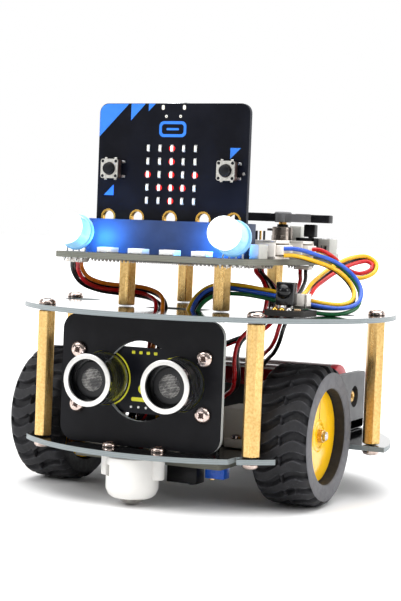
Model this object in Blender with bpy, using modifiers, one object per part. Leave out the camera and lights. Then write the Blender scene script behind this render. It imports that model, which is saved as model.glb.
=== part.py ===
"""Two-wheel robot car: two round decks on brass posts, geared wheels, ball casters,
an ultrasonic ranger behind a front panel and a plug-in controller board on top.

Units are metres, +Z is up, the floor is z = 0 and the car's front faces -Y.
"""

import math

import bmesh
import bpy
from mathutils import Matrix, Vector

# ------------------------------------------------------------------ driving sizes
GAP = 0.0003                    # clearance kept between touching pieces
SIDES = (("right", -1), ("left", 1))    # the car's own right is -X and its left is +X
DECK_RADIUS = 0.061
DECK_THICKNESS = 0.0016
LOWER_DECK_BOTTOM = 0.0152
LONG_POST = 0.040
SHORT_POST = 0.015
POST_ACROSS_FLATS = 0.0050
SCREW_HOLE_RADIUS = 0.0016

LOWER_DECK_TOP = LOWER_DECK_BOTTOM + DECK_THICKNESS
UPPER_DECK_BOTTOM = LOWER_DECK_TOP + LONG_POST
UPPER_DECK_TOP = UPPER_DECK_BOTTOM + DECK_THICKNESS
CARRIER_BOTTOM = UPPER_DECK_TOP + SHORT_POST
CARRIER_TOP = CARRIER_BOTTOM + DECK_THICKNESS

LONG_POST_PLACES = {
    "front_right": (-0.0355, -0.0455),
    "front_left": (0.0355, -0.0455),
    "side_right": (-0.0552, 0.0068),
    "side_left": (0.0552, 0.0068),
}
SHORT_POST_PLACES = {
    "front_right": (-0.0165, -0.0285),
    "front_left": (0.0165, -0.0285),
    "rear_right": (-0.0165, 0.0143),
    "rear_left": (0.0165, 0.0143),
}

# drive wheels
WHEEL_RADIUS = 0.0218
WHEEL_WIDTH = 0.0181
WHEEL_X = 0.04185
WHEEL_Y = -0.0204
RIM_RADIUS = 0.01445
AXLE_RADIUS = 0.0015
AXLE_END_X = 0.0500
GEARBOX_FRONT_X = 0.0398
GEARBOX_LENGTH = 0.0090
MOTOR_LENGTH = 0.0150
MOTOR_WIDTH = 0.0120
MOTOR_HEIGHT = 0.0096
CUTOUT_INNER_X = 0.0310
CUTOUT_FRONT_Y = -0.0436
CUTOUT_REAR_Y = 0.0028
HUB_WALL = 0.0014
HUB_BARREL_BACK = 0.0010         # how far the barrel stops short of the tyre's inner side
HUB_DISC = (0.0027, 0.0055)      # inner and outer faces of the disc, from the wheel's middle
HUB_BOSS_RADIUS = 0.0036
HUB_BOSS_BACK = -0.0006
BRACKET_X = (0.0178, 0.0300)
BRACKET_MIDDLE_X = 0.0240
BRACKET_HALF_LENGTH = 0.0078
BRACKET_SCREW_REACH = 0.0095     # along Y, from the motor's axis

# ball casters
CASTER_Y = {"front": -0.052, "rear": 0.0515}
CASTER_RADIUS = 0.0080
BALL_RADIUS = 0.0050
CASTER_SCREW_X = 0.0082
CASTER_MOUTH_Z = 0.0025
CASTER_EAR_RADIUS = 0.0023
CASTER_EAR_HEIGHT = 0.0066
CASTER_SLOT_HALF_WIDTH = 0.0016
CASTER_SLOT_Z = (0.0090, 0.0124)

# battery
HOLDER_SIZE = (0.077, 0.0398, 0.0196)
HOLDER_Y = 0.0280
HOLDER_FLOOR = 0.0033
CELL_RADIUS = 0.0091
CELL_LENGTH = 0.0670
CELL_PITCH = 0.0190
CELL_Z = 0.0299
HOLDER_END_WALL = 0.0022
HOLDER_SIDE_WALL = 0.0010
HOLDER_SIDE_HEIGHT = 0.0155
CONTACT_HOLE_RADIUS = 0.0037

# ultrasonic ranger and its panel
PANEL_FRONT_Y = -0.0492
PANEL_WIDTH = 0.0544
PANEL_CORNER = 0.0050
SONAR_Z = 0.0371
SONAR_PITCH = 0.026
SONAR_CAN_RADIUS = 0.0080
SONAR_FRONT_Y = -0.0591
SONAR_BOARD = (0.045, 0.0016, 0.020)
PANEL_WINDOW_RADIUS = 0.0122
PANEL_CAN_HOLE = 0.0084
PANEL_SCREWS = [(side * 0.02125, SONAR_Z + rise) for side in (-1, 1) for rise in (-0.0085, 0.0083)]
SONAR_SCREWS = [(side * 0.02110, SONAR_Z + rise) for side in (-1, 1) for rise in (-0.0085, 0.0083)]
SONAR_CUP = (0.0064, 0.0042)     # radius and depth of the recess in a transducer's face

# top side
CARRIER_X = 0.0325
CARRIER_Y = (-0.0475, 0.0325)
CONTROLLER_FRONT_Y = -0.03335
CONTROLLER_SIZE = (0.0516, 0.0016, 0.0420)
CONTROLLER_BOTTOM = 0.0801
RING_HOLE_X = (-0.02159, -0.01143, 0.0, 0.01143, 0.02159)
RING_HOLE_RISE = 0.0064
CONNECTOR_X = 0.0278
CONNECTOR_Y = (-0.0373, -0.0299)
CONNECTOR_TOP = 0.0858
LAMP_X = 0.0266
LAMP_BASE = (-0.0432, 0.0811)   # y and z of the flange's centre
LAMP_RADIUS = 0.0050
LAMP_BARREL = 0.0083
LAMP_FLANGE = (0.0056, 0.0012)  # radius and thickness
LAMP_TILT = math.radians(12.0)
BUTTON_X = 0.0199
BUTTON_Z = 0.1015
BUTTON_SIDE = 0.0060
KNOB_AXIS = (0.0204, 0.0100)
KNOB_CAN_RADIUS = 0.0035
KNOB_CAN_HEIGHT = 0.0102
KNOB_SHAFT_HEIGHT = 0.0131
KNOB_ARM = (0.0016, 0.0024, 0.0168)     # half width at the tip and at the hub, and reach
TERMINAL_LOW = (0.0299, 0.0140)
TERMINAL_HIGH = (0.0357, 0.0215)
TERMINAL_HEIGHT = 0.0067
TERMINAL_LEDGE = (0.0330, 0.0365, 0.0020)   # x from and to, and height
TERMINAL_PORTS = (0.0313, 0.0342)
SWITCH_LOW = (0.0258, 0.0085)
SWITCH_HIGH = (0.0322, 0.0128)
SWITCH_HEIGHT = 0.0069
SWITCH_SLOT = ((0.0272, 0.0091), (0.0314, 0.0122))
SWITCH_STEM = ((0.0297, 0.0096), (0.0310, 0.0117))
SWITCH_THUMB = ((0.0282, 0.0092), (0.0320, 0.0121))
INDUCTOR = ((0.0208, 0.0150), (0.0250, 0.0192), 0.0110)     # corners and height

WIRE_RADIUS = 0.0007

# Lead routes: the middle of each bundle, from end to end, straight out of each plug.
ROUTE_LINE = [
    (0.0340, -0.0225, 0.0776), (0.0375, -0.0205, 0.0776), (0.0413, -0.0150, 0.0762),
    (0.0455, -0.0085, 0.0740), (0.0497, -0.0055, 0.0703), (0.0527, -0.0062, 0.0662),
    (0.0535, -0.0100, 0.0626), (0.0508, -0.0140, 0.0609), (0.0462, -0.0170, 0.0608),
    (0.0410, -0.0190, 0.0615), (0.0350, -0.0205, 0.0630), (0.0273, -0.0212, 0.0644),
    (0.0194, -0.0210, 0.0653), (0.0130, -0.0212, 0.0652), (0.0088, -0.0225, 0.0635),
    (0.0063, -0.0250, 0.0600), (0.0055, -0.0275, 0.0550), (0.0050, -0.0300, 0.0480),
    (0.0040, -0.0320, 0.0400), (0.0015, -0.0330, 0.0310), (0.0, -0.0330, 0.0250),
    (0.0, -0.0330, 0.0205),
]
ROUTE_IR = [
    (0.0420, -0.0246, 0.0638), (0.0420, -0.0212, 0.0652), (0.0412, -0.0150, 0.0672),
    (0.0412, -0.0080, 0.0692), (0.0425, -0.0005, 0.0722), (0.0455, 0.0065, 0.0751),
    (0.0493, 0.0105, 0.0762), (0.0522, 0.0110, 0.0745), (0.0521, 0.0090, 0.0720),
    (0.0485, 0.0070, 0.0706), (0.0440, 0.0060, 0.0720), (0.0400, 0.0040, 0.0755),
    (0.0370, 0.0020, 0.0774), (0.0340, 0.0010, 0.0776),
]
ROUTE_SONAR = [
    (-0.0295, -0.0385, 0.0728), (-0.0295, -0.0378, 0.0695), (-0.0283, -0.0350, 0.0661),
    (-0.0258, -0.0290, 0.0641), (-0.0215, -0.0235, 0.0634), (-0.0172, -0.0214, 0.0632),
    (-0.0120, -0.0214, 0.0624), (-0.0070, -0.0240, 0.0607), (-0.0045, -0.0275, 0.0575),
    (-0.0042, -0.0300, 0.0530), (-0.0045, -0.0320, 0.0470), (-0.0040, -0.0330, 0.0400),
    (-0.0025, -0.0345, 0.0345), (-0.0015, -0.0375, 0.0310), (-0.0010, -0.0405, 0.0303),
]
ROUTE_MOTOR_RIGHT = [
    (0.0185, -0.0060, 0.0728), (0.0188, -0.0064, 0.0705), (0.0220, -0.0080, 0.0678),
    (0.0246, -0.0100, 0.0640), (0.0255, -0.0120, 0.0605), (0.0250, -0.0140, 0.0565),
    (0.0228, -0.0180, 0.0530), (0.0205, -0.0220, 0.0490), (0.0203, -0.0240, 0.0440),
    (0.0208, -0.0240, 0.0390), (0.0195, -0.0225, 0.0345), (0.0160, -0.0210, 0.0318),
    (0.0128, -0.0204, 0.0292), (0.0116, -0.0204, 0.0255), (0.0130, -0.0204, 0.0222),
    (0.0152, -0.0204, 0.0218),
]
ROUTE_MOTOR_LEFT = [
    (0.0185, -0.0025, 0.0728), (0.0190, -0.0028, 0.0702), (0.0235, -0.0050, 0.0670),
    (0.0268, -0.0080, 0.0635), (0.0275, -0.0110, 0.0595), (0.0265, -0.0125, 0.0560),
    (0.0220, -0.0120, 0.0520), (0.0130, -0.0110, 0.0480), (0.0030, -0.0120, 0.0435),
    (-0.0060, -0.0150, 0.0385), (-0.0110, -0.0185, 0.0330), (-0.0124, -0.0204, 0.0275),
    (-0.0126, -0.0204, 0.0240), (-0.0136, -0.0204, 0.0221), (-0.0152, -0.0204, 0.0218),
]
ROUTE_BATTERY = [
    (0.0290, 0.0080, 0.0728), (0.0292, 0.0074, 0.0706), (0.0310, 0.0030, 0.0684),
    (0.0325, -0.0030, 0.0660), (0.0328, -0.0090, 0.0625), (0.0322, -0.0125, 0.0585),
    (0.0312, -0.0145, 0.0540), (0.0296, -0.0135, 0.0495), (0.0262, -0.0090, 0.0460),
    (0.0215, -0.0030, 0.0432), (0.0180, 0.0015, 0.0402), (0.0160, 0.0045, 0.0370),
    (0.0155, 0.0066, 0.0335),
]


# ------------------------------------------------------------------ scene helpers
def clear_scene():
    for obj in list(bpy.data.objects):
        bpy.data.objects.remove(obj, do_unlink=True)
    for collection in list(bpy.data.collections):
        bpy.data.collections.remove(collection)


def new_collection(name):
    collection = bpy.data.collections.new(name)
    bpy.context.scene.collection.children.link(collection)
    return collection


clear_scene()
PARTS = new_collection("two_wheel_robot_car")
CUTTERS = new_collection("cutters")


def make_material(name, colour, roughness, metallic=0.0):
    material = bpy.data.materials.new(name)
    material.use_nodes = True
    shader = material.node_tree.nodes["Principled BSDF"]
    shader.inputs["Base Color"].default_value = (*colour, 1.0)
    shader.inputs["Roughness"].default_value = roughness
    shader.inputs["Metallic"].default_value = metallic
    return material


MATERIALS = {
    name: make_material(name, *values)
    for name, values in {
        "deck_board": ((0.02, 0.02, 0.022), 0.15),
        "panel_board": ((0.014, 0.014, 0.017), 0.35),
        "circuit_black": ((0.012, 0.014, 0.02), 0.4),
        "brass": ((0.62, 0.42, 0.13), 0.32, 1.0),
        "white_plastic": ((0.86, 0.85, 0.82), 0.4),
        "grey_plastic": ((0.55, 0.54, 0.5), 0.5),
        "black_plastic": ((0.02, 0.02, 0.022), 0.45),
        "yellow_plastic": ((0.9, 0.56, 0.03), 0.35),
        "tyre_rubber": ((0.02, 0.02, 0.02), 0.7),
        "steel": ((0.6, 0.6, 0.6), 0.25, 1.0),
        "cell_wrap": ((0.3, 0.01, 0.02), 0.3),
        "lamp_lens": ((0.85, 0.95, 1.0), 0.1),
        "lead_mix": ((0.05, 0.12, 0.5), 0.4),
    }.items()
}


def adopt(obj, material, collection=PARTS):
    """Give an object its material and put it in one collection only."""
    for owner in list(obj.users_collection):
        owner.objects.unlink(obj)
    collection.objects.link(obj)
    if obj.data is not None and hasattr(obj.data, "materials"):
        obj.data.materials.clear()
        obj.data.materials.append(MATERIALS[material])
    return obj


def object_from_bmesh(name, mesh_builder, material, collection=PARTS):
    mesh = bpy.data.meshes.new(name)
    mesh_builder.to_mesh(mesh)
    mesh_builder.free()
    obj = bpy.data.objects.new(name, mesh)
    return adopt(obj, material, collection)


def hide_as_cutter(obj):
    obj.hide_render = True
    obj.display_type = "WIRE"
    return obj


def box(name, low, high, material, collection=PARTS):
    """A box between two corners, with its origin at its centre."""
    low, high = Vector(low), Vector(high)
    builder = bmesh.new()
    bmesh.ops.create_cube(builder, size=1.0, matrix=Matrix.Diagonal((*(high - low), 1.0)))
    obj = object_from_bmesh(name, builder, material, collection)
    obj.location = (low + high) / 2
    return obj


AXIS_TURN = {
    "x": Matrix.Rotation(math.radians(90), 4, "Y"),
    "y": Matrix.Rotation(math.radians(-90), 4, "X"),
    "z": Matrix.Identity(4),
}


def cylinder(name, radius, length, centre, axis, material, sides=24, collection=PARTS, end_radius=None):
    builder = bmesh.new()
    top = radius if end_radius is None else end_radius
    bmesh.ops.create_cone(builder, cap_ends=True, segments=sides, radius1=radius, radius2=top,
                          depth=length, matrix=AXIS_TURN[axis])
    obj = object_from_bmesh(name, builder, material, collection)
    obj.location = centre
    obj.data.shade_smooth()
    obj.data.set_sharp_from_angle(angle=math.radians(40))
    return obj


def turned(name, profile, steps, place, material, collection=PARTS):
    """A closed profile of (radius, height) points, top to bottom on its outside, turned about Z."""
    builder = bmesh.new()
    points = [builder.verts.new((radius, 0.0, height)) for radius, height in profile]
    for first, second in zip(points, points[1:]):
        builder.edges.new((first, second))
    if profile[0][0] > 0 or profile[-1][0] > 0:
        builder.edges.new((points[-1], points[0]))
    obj = object_from_bmesh(name, builder, material, collection)
    screw = obj.modifiers.new("turn", "SCREW")
    screw.steps = steps
    screw.render_steps = steps
    screw.use_merge_vertices = True
    screw.merge_threshold = 0.00002
    obj.matrix_world = place
    return obj


def facing(direction, origin):
    """A placement that takes local +Z to a direction and the origin to a point."""
    turn = Vector((0, 0, 1)).rotation_difference(Vector(direction)).to_matrix().to_4x4()
    return Matrix.Translation(Vector(origin)) @ turn


def circle(centre, radius, count, start=0.0):
    return [
        (centre[0] + radius * math.cos(start + math.tau * i / count),
         centre[1] + radius * math.sin(start + math.tau * i / count))
        for i in range(count)
    ]


def rounded_rectangle(low, high, radius, corner_steps=5):
    points = []
    corners = [(high[0], high[1], 0), (low[0], high[1], 90), (low[0], low[1], 180), (high[0], low[1], 270)]
    for x, y, angle in corners:
        centre_x = x - radius if x == high[0] else x + radius
        centre_y = y - radius if y == high[1] else y + radius
        for step in range(corner_steps + 1):
            turn = math.radians(angle + 90 * step / corner_steps)
            points.append((centre_x + radius * math.cos(turn), centre_y + radius * math.sin(turn)))
    return points


def plate(name, outlines, thickness, place, material, collection=PARTS):
    """A flat plate from a 2D curve: the first outline is the edge, the others are holes."""
    curve = bpy.data.curves.new(name, "CURVE")
    curve.dimensions = "2D"
    curve.fill_mode = "BOTH"
    curve.extrude = thickness / 2
    for outline in outlines:
        spline = curve.splines.new("POLY")
        spline.points.add(len(outline) - 1)
        for point, (x, y) in zip(spline.points, outline):
            point.co = (x, y, 0.0, 1.0)
        spline.use_cyclic_u = True
    guide = bpy.data.objects.new(name + "_outline", curve)
    bpy.context.scene.collection.objects.link(guide)
    guide.matrix_world = place
    return mesh_from_curve(name, guide, material, collection)


def mesh_from_curve(name, guide, material, collection=PARTS):
    """Replace a curve object by a welded mesh object in the same place."""
    bpy.context.view_layer.update()
    mesh = bpy.data.meshes.new_from_object(guide.evaluated_get(bpy.context.evaluated_depsgraph_get()))
    builder = bmesh.new()
    builder.from_mesh(mesh)
    bmesh.ops.remove_doubles(builder, verts=builder.verts, dist=0.000001)
    bmesh.ops.recalc_face_normals(builder, faces=builder.faces)
    builder.to_mesh(mesh)
    builder.free()
    obj = bpy.data.objects.new(name, mesh)
    obj.matrix_world = guide.matrix_world
    curve = guide.data
    bpy.data.objects.remove(guide, do_unlink=True)
    bpy.data.curves.remove(curve)
    mesh.name = name
    return adopt(obj, material, collection)


def combine(target, others, operation):
    """Add an exact Boolean for each other object, which becomes a hidden guide."""
    for other in others:
        adopt_as_guide(other)
        modifier = target.modifiers.new(operation.lower(), "BOOLEAN")
        modifier.operation = operation
        modifier.solver = "EXACT"
        modifier.object = other
    return target


def adopt_as_guide(obj):
    for owner in list(obj.users_collection):
        owner.objects.unlink(obj)
    CUTTERS.objects.link(obj)
    hide_as_cutter(obj)


def bevelled(obj, width, segments=1):
    modifier = obj.modifiers.new("edge", "BEVEL")
    modifier.width = width
    modifier.segments = segments
    modifier.limit_method = "ANGLE"
    modifier.angle_limit = math.radians(50)
    return obj


def pivot(name, place, children):
    """An empty on a joint's axis that carries the pieces which turn or slide on it."""
    empty = bpy.data.objects.new(name, None)
    empty.empty_display_size = 0.004
    PARTS.objects.link(empty)
    empty.location = place
    bpy.context.view_layer.update()
    for child in children:
        child.parent = empty
        child.matrix_parent_inverse = empty.matrix_world.inverted()
    return empty


FLAT = Matrix.Identity(4)
UPRIGHT = Matrix.Rotation(math.radians(90), 4, "X")     # plate outline in X and Z, thickness along Y


# ------------------------------------------------------------------ decks, posts and panel
def deck_edge_angle(y):
    return math.asin(y / DECK_RADIUS)


def lower_deck_outline():
    """A round deck with a notch for each wheel and a small slot beside the left front post."""
    points = []
    front = deck_edge_angle(CUTOUT_FRONT_Y)
    rear = deck_edge_angle(CUTOUT_REAR_Y)
    slot_x = (0.0312, 0.0334)
    slot_floor = -0.0462
    steps = 24
    for step in range(steps + 1):
        angle = rear + (math.pi - 2 * rear) * step / steps
        points.append((DECK_RADIUS * math.cos(angle), DECK_RADIUS * math.sin(angle)))
    points += [(-CUTOUT_INNER_X, CUTOUT_REAR_Y), (-CUTOUT_INNER_X, CUTOUT_FRONT_Y)]
    slot_angles = [-math.acos(x / DECK_RADIUS) for x in slot_x]
    for step in range(13):
        angle = math.pi - front + (slot_angles[0] + math.tau - (math.pi - front)) * step / 12
        points.append((DECK_RADIUS * math.cos(angle), DECK_RADIUS * math.sin(angle)))
    points += [(slot_x[0], slot_floor), (slot_x[1], slot_floor)]
    for step in range(4):
        angle = slot_angles[1] + (front - slot_angles[1]) * step / 3
        points.append((DECK_RADIUS * math.cos(angle), DECK_RADIUS * math.sin(angle)))
    points += [(CUTOUT_INNER_X, CUTOUT_FRONT_Y), (CUTOUT_INNER_X, CUTOUT_REAR_Y)]
    return points


def screw_holes(places):
    return [circle(place, SCREW_HOLE_RADIUS, 8) for place in places]


def make_decks():
    long_holes = screw_holes(LONG_POST_PLACES.values())
    caster_holes = screw_holes(
        [(side * CASTER_SCREW_X, y) for y in CASTER_Y.values() for side in (-1, 1)])
    bracket_holes = screw_holes(
        [(side * BRACKET_MIDDLE_X, WHEEL_Y + end * BRACKET_SCREW_REACH) for side in (-1, 1) for end in (-1, 1)])
    lead_hole = [rounded_rectangle((-0.0065, -0.0362), (0.0065, -0.0296), 0.001, 2)]
    plate("lower_deck", [lower_deck_outline()] + long_holes + caster_holes + bracket_holes + lead_hole,
          DECK_THICKNESS, Matrix.Translation((0, 0, LOWER_DECK_BOTTOM + DECK_THICKNESS / 2)), "deck_board")
    openings = [
        rounded_rectangle((-0.0085, -0.0330), (0.0105, -0.0205), 0.003, 4),
        rounded_rectangle((0.0218, -0.0172), (0.0352, -0.0092), 0.003, 4),
        circle((-0.0456, -0.0050), 0.0060, 16),
        circle((0.0456, -0.0050), 0.0060, 16),
    ]
    plate("upper_deck",
          [circle((0, 0), DECK_RADIUS, 60)] + long_holes + screw_holes(SHORT_POST_PLACES.values()) + openings,
          DECK_THICKNESS, Matrix.Translation((0, 0, UPPER_DECK_BOTTOM + DECK_THICKNESS / 2)), "deck_board")


def hexagonal_post(name, place, low, high):
    """A brass spacer: a hexagonal bar with a threaded hole right through it."""
    corner_radius = POST_ACROSS_FLATS / math.sqrt(3)
    middle = (low + high) / 2
    post = cylinder(name, corner_radius, high - low, (*place, middle), "z", "brass", 6)
    bore = cylinder(name + "_bore", 0.00125, high - low + 0.002, (*place, middle), "z", "brass", 10)
    combine(post, [bore], "DIFFERENCE")


def make_posts():
    for name, place in LONG_POST_PLACES.items():
        hexagonal_post("long_post_" + name, place, LOWER_DECK_TOP + GAP, UPPER_DECK_BOTTOM - GAP)
    for name, place in SHORT_POST_PLACES.items():
        hexagonal_post("short_post_" + name, place, UPPER_DECK_TOP + GAP, CARRIER_BOTTOM - GAP)


def make_front_panel():
    bottom = LOWER_DECK_TOP + GAP
    top = UPPER_DECK_BOTTOM - GAP
    half = PANEL_WIDTH / 2
    window = panel_window(PANEL_CAN_HOLE)
    holes = [circle(place, SCREW_HOLE_RADIUS, 10) for place in PANEL_SCREWS]
    plate("front_panel", [rounded_rectangle((-half, bottom), (half, top), PANEL_CORNER), window] + holes,
          DECK_THICKNESS, Matrix.Translation((0, PANEL_FRONT_Y + DECK_THICKNESS / 2, 0)) @ UPRIGHT,
          "panel_board")


def panel_window(can_hole):
    """The outline of a middle circle joined to the two round holes for the transducers."""
    half_pitch = SONAR_PITCH / 2
    meet_x = (half_pitch ** 2 + PANEL_WINDOW_RADIUS ** 2 - can_hole ** 2) / (2 * half_pitch)
    middle_angle = math.acos(meet_x / PANEL_WINDOW_RADIUS)
    side_angle = math.acos((half_pitch - meet_x) / can_hole)
    points = []
    for side, turn in ((1, 0.0), (-1, math.pi)):
        for step in range(15):
            angle = turn - (math.pi - side_angle) + 2 * (math.pi - side_angle) * step / 14
            points.append((side * half_pitch + can_hole * math.cos(angle), SONAR_Z + can_hole * math.sin(angle)))
        for step in range(1, 8):
            angle = turn + middle_angle + (math.pi - 2 * middle_angle) * step / 8
            points.append((PANEL_WINDOW_RADIUS * math.cos(angle), SONAR_Z + PANEL_WINDOW_RADIUS * math.sin(angle)))
    return points


# ------------------------------------------------------------------ casters
def make_caster(end):
    y = CASTER_Y[end]
    top = LOWER_DECK_BOTTOM - GAP
    cavity = BALL_RADIUS + GAP
    outside = [(0, top), (CASTER_RADIUS, top), (CASTER_RADIUS, 0.0050), (0.0072, 0.0034), (0.0060, CASTER_MOUTH_Z)]
    start = math.asin((CASTER_MOUTH_Z - BALL_RADIUS) / cavity)
    inside = [
        (cavity * math.cos(angle), BALL_RADIUS + cavity * math.sin(angle))
        for angle in (start + (math.pi / 2 - start) * step / 5 for step in range(5))
    ] + [(0, BALL_RADIUS + cavity)]
    housing = turned(end + "_caster_housing", outside + inside, 20,
                     Matrix.Translation((0, y, 0)), "white_plastic")
    ears = [cylinder(f"{end}_caster_ear_{side}", CASTER_EAR_RADIUS, CASTER_EAR_HEIGHT,
                     (side * CASTER_SCREW_X, y, top - CASTER_EAR_HEIGHT / 2), "z", "white_plastic", 12)
            for side in (-1, 1)]
    bores = [cylinder(f"{end}_caster_bore_{side}", 0.0012, 0.0050, (side * CASTER_SCREW_X, y, top - 0.0020),
                      "z", "white_plastic", 8) for side in (-1, 1)]
    slots = []
    for turn in (45, 135):
        slot = box(f"{end}_caster_slot_{turn}", (-0.012, -CASTER_SLOT_HALF_WIDTH, CASTER_SLOT_Z[0]),
                   (0.012, CASTER_SLOT_HALF_WIDTH, CASTER_SLOT_Z[1]), "white_plastic")
        slot.rotation_euler.z = math.radians(turn)
        slot.location.y = y
        slots.append(slot)
    combine(housing, ears, "UNION")
    combine(housing, bores + slots, "DIFFERENCE")
    builder = bmesh.new()
    bmesh.ops.create_uvsphere(builder, u_segments=16, v_segments=8, radius=BALL_RADIUS)
    ball = object_from_bmesh(end + "_caster_ball", builder, "steel")
    ball.location = (0, y, BALL_RADIUS)
    ball.data.shade_smooth()


# ------------------------------------------------------------------ drive
def mirror_x(points, side):
    return [(side * x, y, z) for x, y, z in points]


def side_box(name, side, low, high, material, collection=PARTS):
    """A box given for the car's left-hand (+X) side, mirrored in place for the other."""
    xs = sorted((side * low[0], side * high[0]))
    return box(name, (xs[0], low[1], low[2]), (xs[1], high[1], high[2]), material, collection)


def make_drive(label, side):
    y, z = WHEEL_Y, WHEEL_RADIUS
    gearbox_back = GEARBOX_FRONT_X - GEARBOX_LENGTH
    motor_back = gearbox_back - GAP - MOTOR_LENGTH
    # gearbox block, with a round seat for the shaft
    gearbox = side_box("gearbox_" + label, side, (gearbox_back, y - 0.006, z - 0.0048),
                       (GEARBOX_FRONT_X, y + 0.006, z + 0.0048), "brass")
    seat = cylinder("gearbox_seat_" + label, AXLE_RADIUS + GAP, 0.008,
                    (side * (GEARBOX_FRONT_X - 0.003), y, z), "x", "brass", 16)
    combine(gearbox, [seat], "DIFFERENCE")
    # motor can: a round bar with two flats
    can = cylinder("motor_can_" + label, MOTOR_WIDTH / 2, MOTOR_LENGTH,
                   (side * (motor_back + MOTOR_LENGTH / 2), y, z), "x", "steel", 28)
    flats = [box(f"motor_flat_{label}_{end}", (-0.02, -0.02, -0.01), (0.02, 0.02, 0.01), "steel") for end in (-1, 1)]
    for end, flat in zip((-1, 1), flats):
        flat.location = (side * motor_back, y, z + end * (MOTOR_HEIGHT / 2 + 0.01))
    combine(can, flats, "DIFFERENCE")
    # saddle bracket that holds the motor down on the deck
    bracket = side_box("motor_bracket_" + label, side,
                       (BRACKET_X[0], y - BRACKET_HALF_LENGTH, LOWER_DECK_TOP + GAP),
                       (BRACKET_X[1], y + BRACKET_HALF_LENGTH, z + MOTOR_HEIGHT / 2 + 0.0022), "white_plastic")
    ear_low = (0.0205, y - 0.0112, LOWER_DECK_TOP + GAP)
    ears = side_box("motor_bracket_ears_" + label, side, ear_low, (0.0275, y + 0.0112, LOWER_DECK_TOP + 0.0030),
                    "white_plastic")
    tunnel = side_box("motor_tunnel_" + label, side, (0.0100, y - 0.0063, 0.0100),
                      (0.0360, y + 0.0063, z + MOTOR_HEIGHT / 2 + GAP), "white_plastic")
    bolts = [cylinder(f"bracket_bolt_{label}_{end}", 0.0011, 0.02,
                      (side * BRACKET_MIDDLE_X, y + end * BRACKET_SCREW_REACH, 0.02),
                      "z", "white_plastic", 8) for end in (-1, 1)]
    combine(bracket, [ears], "UNION")
    combine(bracket, [tunnel] + bolts, "DIFFERENCE")
    make_wheel(label, side)


def make_wheel(label, side):
    y, z = WHEEL_Y, WHEEL_RADIUS
    axle_start = GEARBOX_FRONT_X - 0.0065
    axle_length = AXLE_END_X - axle_start
    axle = cylinder("axle_" + label, AXLE_RADIUS, axle_length,
                    (side * (axle_start + axle_length / 2), y, z), "x", "steel", 16)
    flat = side_box("axle_flat_" + label, side, (GEARBOX_FRONT_X + 0.0004, y + 0.0010, z - 0.003),
                    (AXLE_END_X + 0.002, y + 0.004, z + 0.003), "steel")
    combine(axle, [flat], "DIFFERENCE")
    place = facing((side, 0, 0), (side * WHEEL_X, y, z))
    half = WHEEL_WIDTH / 2
    inside = RIM_RADIUS - HUB_WALL
    barrel_back = -half + HUB_BARREL_BACK
    bore = AXLE_RADIUS + GAP
    hub_profile = [
        (RIM_RADIUS, HUB_DISC[1]), (RIM_RADIUS, barrel_back), (inside, barrel_back), (inside, HUB_DISC[0]),
        (HUB_BOSS_RADIUS, HUB_DISC[0]), (HUB_BOSS_RADIUS, HUB_BOSS_BACK), (bore, HUB_BOSS_BACK),
        (bore, HUB_DISC[1]),
    ]
    hub = turned("hub_" + label, hub_profile, 28, place, "yellow_plastic")
    seat = RIM_RADIUS + GAP
    tyre_profile = [
        (seat, half), (0.0188, half), (0.0203, half - 0.0012), (0.0214, half - 0.0040), (WHEEL_RADIUS, 0.0),
        (0.0214, -half + 0.0040), (0.0203, -half + 0.0012), (0.0188, -half), (seat, -half),
    ]
    tyre = turned("tyre_" + label, tyre_profile, 32, place, "tyre_rubber")
    pivot("wheel_axis_" + label, (side * WHEEL_X, y, z), [axle, hub, tyre])


# ------------------------------------------------------------------ battery
def make_battery():
    length, width, height = HOLDER_SIZE
    floor = LOWER_DECK_TOP + GAP
    holder = box("battery_holder", (-length / 2, HOLDER_Y - width / 2, floor),
                 (length / 2, HOLDER_Y + width / 2, floor + height), "black_plastic")
    bay_x = length / 2 - HOLDER_END_WALL
    bay_y = width / 2 - HOLDER_SIDE_WALL
    bay = box("battery_bay", (-bay_x, HOLDER_Y - bay_y, floor + HOLDER_FLOOR),
              (bay_x, HOLDER_Y + bay_y, floor + height + 0.01), "black_plastic")
    cuts = [bay]
    for side in (-1, 1):
        wall_y = HOLDER_Y + side * (width / 2)
        cuts.append(box(f"battery_side_{side}", (-length / 2 + 0.0060, wall_y - 0.003, floor + HOLDER_SIDE_HEIGHT),
                        (length / 2 - 0.0060, wall_y + 0.003, floor + height + 0.01), "black_plastic"))
        for row in (-0.5, 0.5):
            cuts.append(cylinder(f"contact_hole_{side}_{row}", CONTACT_HOLE_RADIUS, 0.008,
                                 (side * length / 2, HOLDER_Y + row * CELL_PITCH, CELL_Z - 0.0015),
                                 "x", "black_plastic", 12))
            cuts.append(box(f"end_slot_{side}_{row}",
                            (side * length / 2 - 0.001, HOLDER_Y + row * CELL_PITCH - 0.0035, floor - 0.001),
                            (side * length / 2 + 0.001, HOLDER_Y + row * CELL_PITCH + 0.0035, floor + 0.0024),
                            "black_plastic"))
    combine(holder, cuts, "DIFFERENCE")
    for name, row in (("front", -0.5), ("rear", 0.5)):
        y = HOLDER_Y + row * CELL_PITCH
        cell = cylinder("cell_" + name, CELL_RADIUS, CELL_LENGTH, (0, y, CELL_Z), "x", "cell_wrap", 28)
        bevelled(cell, 0.0006)


# ------------------------------------------------------------------ sensors
def make_line_sensor():
    """A narrow board under the front of the lower deck with two reflective sensors."""
    low = (-0.0250, -0.0436, 0.0117)
    board = box("line_sensor_board", low, (0.0250, -0.0300, 0.0133), "circuit_black")
    pieces = [box(f"line_eye_{side}", (side * 0.0112 - 0.0051, -0.0412, 0.0062),
                  (side * 0.0112 + 0.0051, -0.0354, 0.0119), "black_plastic") for side in (-1, 1)]
    pieces += [cylinder(f"line_stud_{side}", 0.0024, 0.0024, (side * 0.0225, -0.0335, 0.0137), "z",
                        "white_plastic", 10) for side in (-1, 1)]
    combine(board, pieces, "UNION")


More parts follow.
